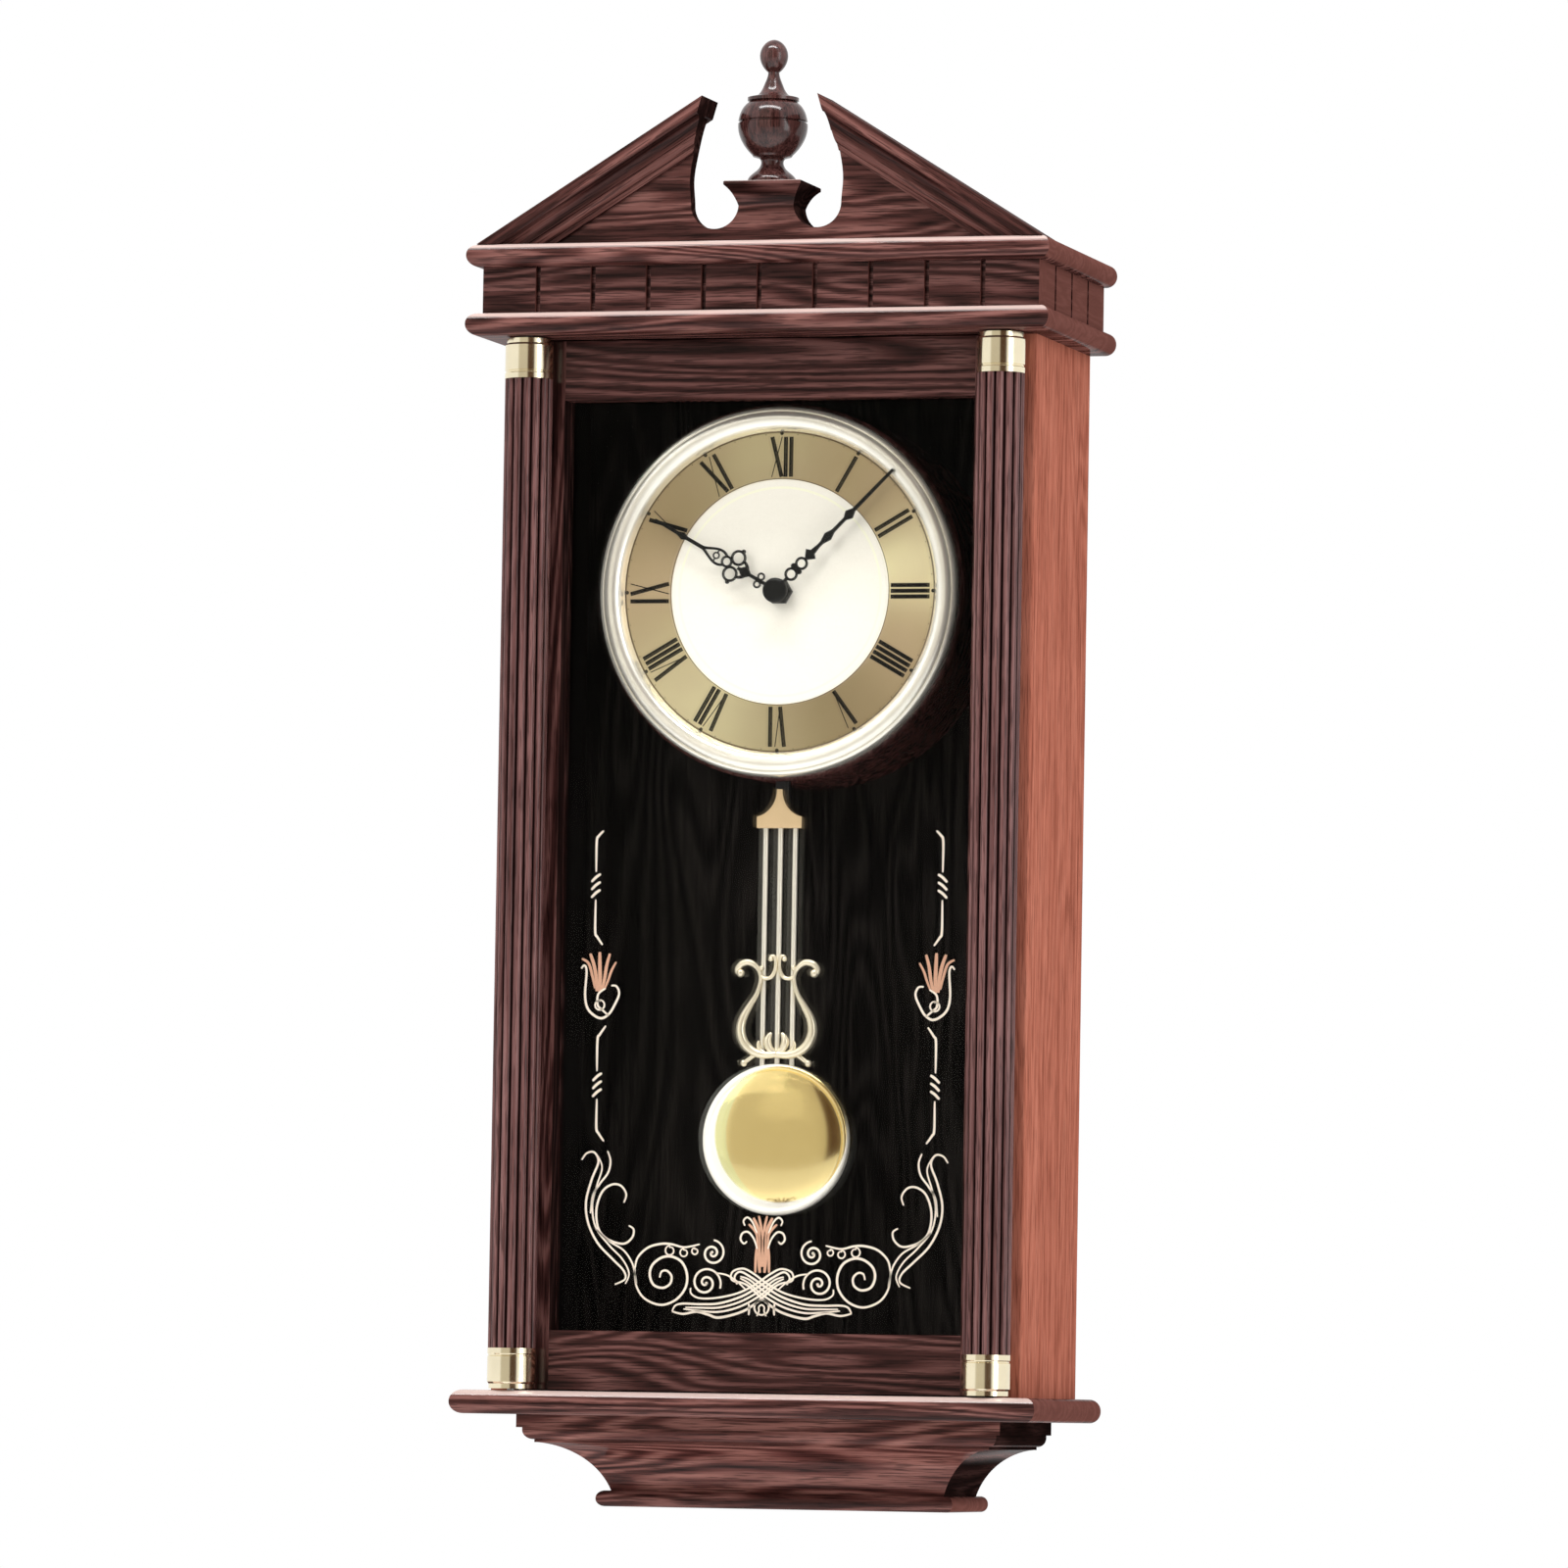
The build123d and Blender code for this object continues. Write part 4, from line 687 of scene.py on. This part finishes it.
def cast_lyre():
    """Rounded casting with ball-ended scrolls: x, height and thickness radius in mm for one half."""
    arm = [
        (0.2, 229.8, 1.7), (6, 229.4, 1.9), (12, 231, 2.2), (16.9, 235.4, 2.5), (18.9, 241.4, 2.5),
        (17.9, 247.6, 2.2), (14.6, 253.8, 1.7), (11.3, 259.2, 1.25), (9.3, 264.6, 1.05), (8.9, 269.4, 1.0),
        (10.6, 273.4, 1.2), (14.4, 276.2, 1.6), (18.4, 275.7, 1.7), (21.0, 273.0, 1.5), (20.8, 270.6, 1.2),
    ]
    swag = [
        (9.2, 272.8, 0.9), (9.3, 270.2, 0.9), (6.8, 268.2, 1.0), (3.6, 268.7, 1.0), (1.5, 271.8, 0.95),
        (0.9, 276.0, 0.9), (1.7, 279.2, 0.8), (3.3, 279.5, 0.8), (4.0, 278.2, 0.8),
    ]
    lobe = [(0.8, 230.4, 1.3), (3.4, 232.6, 1.8), (4.7, 236.2, 2.0), (3.6, 239.4, 1.2), (2.6, 240.6, 0.6)]
    husk = [(5.2, 229.8, 1.2), (8.2, 231.6, 1.3), (9.6, 234.6, 0.9), (9.2, 236.6, 0.5)]
    foot = [(10.8, 229.8, 1.2), (13.8, 227.6, 1.1), (16.4, 225.8, 1.0)]
    balls = [(19.4, 270.8, 2.2), (8.4, 273.4, 1.4), (3.6, 277.9, 1.25), (17.0, 225.2, 1.8)]
    curve = bpy.data.curves.new("pendulum_lyre_cast", "CURVE")
    curve.dimensions = "3D"
    curve.bevel_depth = MM
    curve.bevel_resolution = 5
    curve.use_fill_caps = True
    for side in (-1, 1):
        for row in (arm, swag, lobe, husk, foot):
            fine = smooth(row, 6)
            spline = curve.splines.new("POLY")
            spline.points.add(len(fine) - 1)
            for point, (x, z, radius) in zip(spline.points, fine):
                point.co = (side * x * MM, LYRE_Y, height(z), 1)
                point.radius = LYRE_GIRTH * radius
        for x, z, radius in balls:
            spline = curve.splines.new("POLY")
            spline.points.add(10)
            for k, point in enumerate(spline.points):
                angle = math.pi * (0.02 + 0.96 * k / 10)
                shift = -radius * math.cos(angle)
                point.co = (side * x * MM, LYRE_Y, height(z) + shift * MM, 1)
                point.radius = radius * math.sin(angle)
    curve.materials.append(cast)
    made = bpy.data.objects.new("pendulum_lyre_cast", curve)
    scene.collection.objects.link(made)
    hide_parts("pendulum_lyre")
    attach(made, "pendulum")


cast_lyre()

# ---- light, stage and camera -------------------------------------------------------------------------
scene.view_settings.view_transform = "Standard"
world = bpy.data.worlds.new("studio")
scene.world = world
world.use_nodes = True
sky = Graph(world.node_tree)
background = world.node_tree.nodes["Background"]
x, y, z = sky.parts(sky.node("ShaderNodeTexCoord").outputs["Generated"])
bearing = sky.math("DIVIDE", x, sky.math("MAXIMUM", sky.length(x, y), 0.001))
leftward, downward = sky.math("MULTIPLY", bearing, -1.0), sky.math("MULTIPLY", z, -1.0)

# A room that is white at the sides, behind, above and below, dimmer in front, and dark at front right.
bright = sky.math("MAXIMUM", sky.rise(bearing, 0.60, 0.72), sky.rise(y, -0.05, 0.1))
for direction, low, high in ((leftward, 0.52, 0.64), (z, 0.82, 0.92), (downward, 0.18, 0.4)):
    bright = sky.math("MAXIMUM", bright, sky.rise(direction, low, high))
front = sky.mix(sky.rise(bearing, 0.12, 0.20), (0.62, 0.58, 0.50), (0.09, 0.05, 0.03))
backdrop = sky.node("ShaderNodeLightPath").outputs["Is Camera Ray"]
bright = sky.math("MAXIMUM", bright, backdrop)
sky.link(sky.mix(bright, front, (1.0, 1.0, 1.0)), background.inputs[0])
background.inputs[1].default_value = 1.0


LIT = Vector((0, -0.06, -0.2))


def panel(name, place, width, tall, power, glossy=True):
    """A soft rectangular lamp that faces the middle of the clock."""
    light = bpy.data.lights.new(name, "AREA")
    light.shape = "RECTANGLE"
    light.size, light.size_y = width, tall
    light.energy = power
    made = bpy.data.objects.new(name, light)
    scene.collection.objects.link(made)
    made.location = place
    made.rotation_euler = (LIT - Vector(place)).to_track_quat("-Z", "Y").to_euler()
    made.visible_glossy = glossy


panel("key", (-1.0, -2.7, 1.0), 1.4, 1.4, 34, glossy=False)
panel("top", (0.0, -1.0, 1.9), 2.2, 0.3, 44)
panel("fill", (2.2, -1.2, 0.2), 0.8, 2.0, 14)

stage_white = Shader("stage_white", Roughness=0.9)
paper = stage_white.noise(stage_white.coordinates(), 2.0)
stage_white.set("Base Color", stage_white.mix(paper, (0.93, 0.93, 0.93), (0.95, 0.95, 0.95)))
floor_data = bpy.data.meshes.new("floor")
FLOOR_Z = -1.6
corners = [(-8, -8, FLOOR_Z), (8, -8, FLOOR_Z), (8, 8, FLOOR_Z), (-8, 8, FLOOR_Z)]
floor_data.from_pydata(corners, [], [(0, 1, 2, 3)])
floor_data.materials.append(stage_white.material)
floor = bpy.data.objects.new("floor", floor_data)
scene.collection.objects.link(floor)

yaw, pitch, roll, distance = 0.279, 0.0624, 0.0163, 5.1225
target = Vector((-0.0033, -0.060, height(368.0)))
back = Vector((math.sin(yaw) * math.cos(pitch), -math.cos(yaw) * math.cos(pitch), -math.sin(pitch)))
right = (-back).cross(Vector((0, 0, 1))).normalized()
up = right.cross(-back)
across = right * math.cos(roll) + up * math.sin(roll)
upward = up * math.cos(roll) - right * math.sin(roll)
turned = Matrix((across, upward, back)).transposed().to_4x4()
camera = bpy.data.objects.new("camera", bpy.data.cameras.new("camera"))
camera.data.sensor_width = 36.0
camera.data.lens = 36.0 * 10276.5 / 1600
camera.data.clip_end = 60
camera.matrix_world = Matrix.Translation(target + back * distance) @ turned
scene.collection.objects.link(camera)
scene.camera = camera
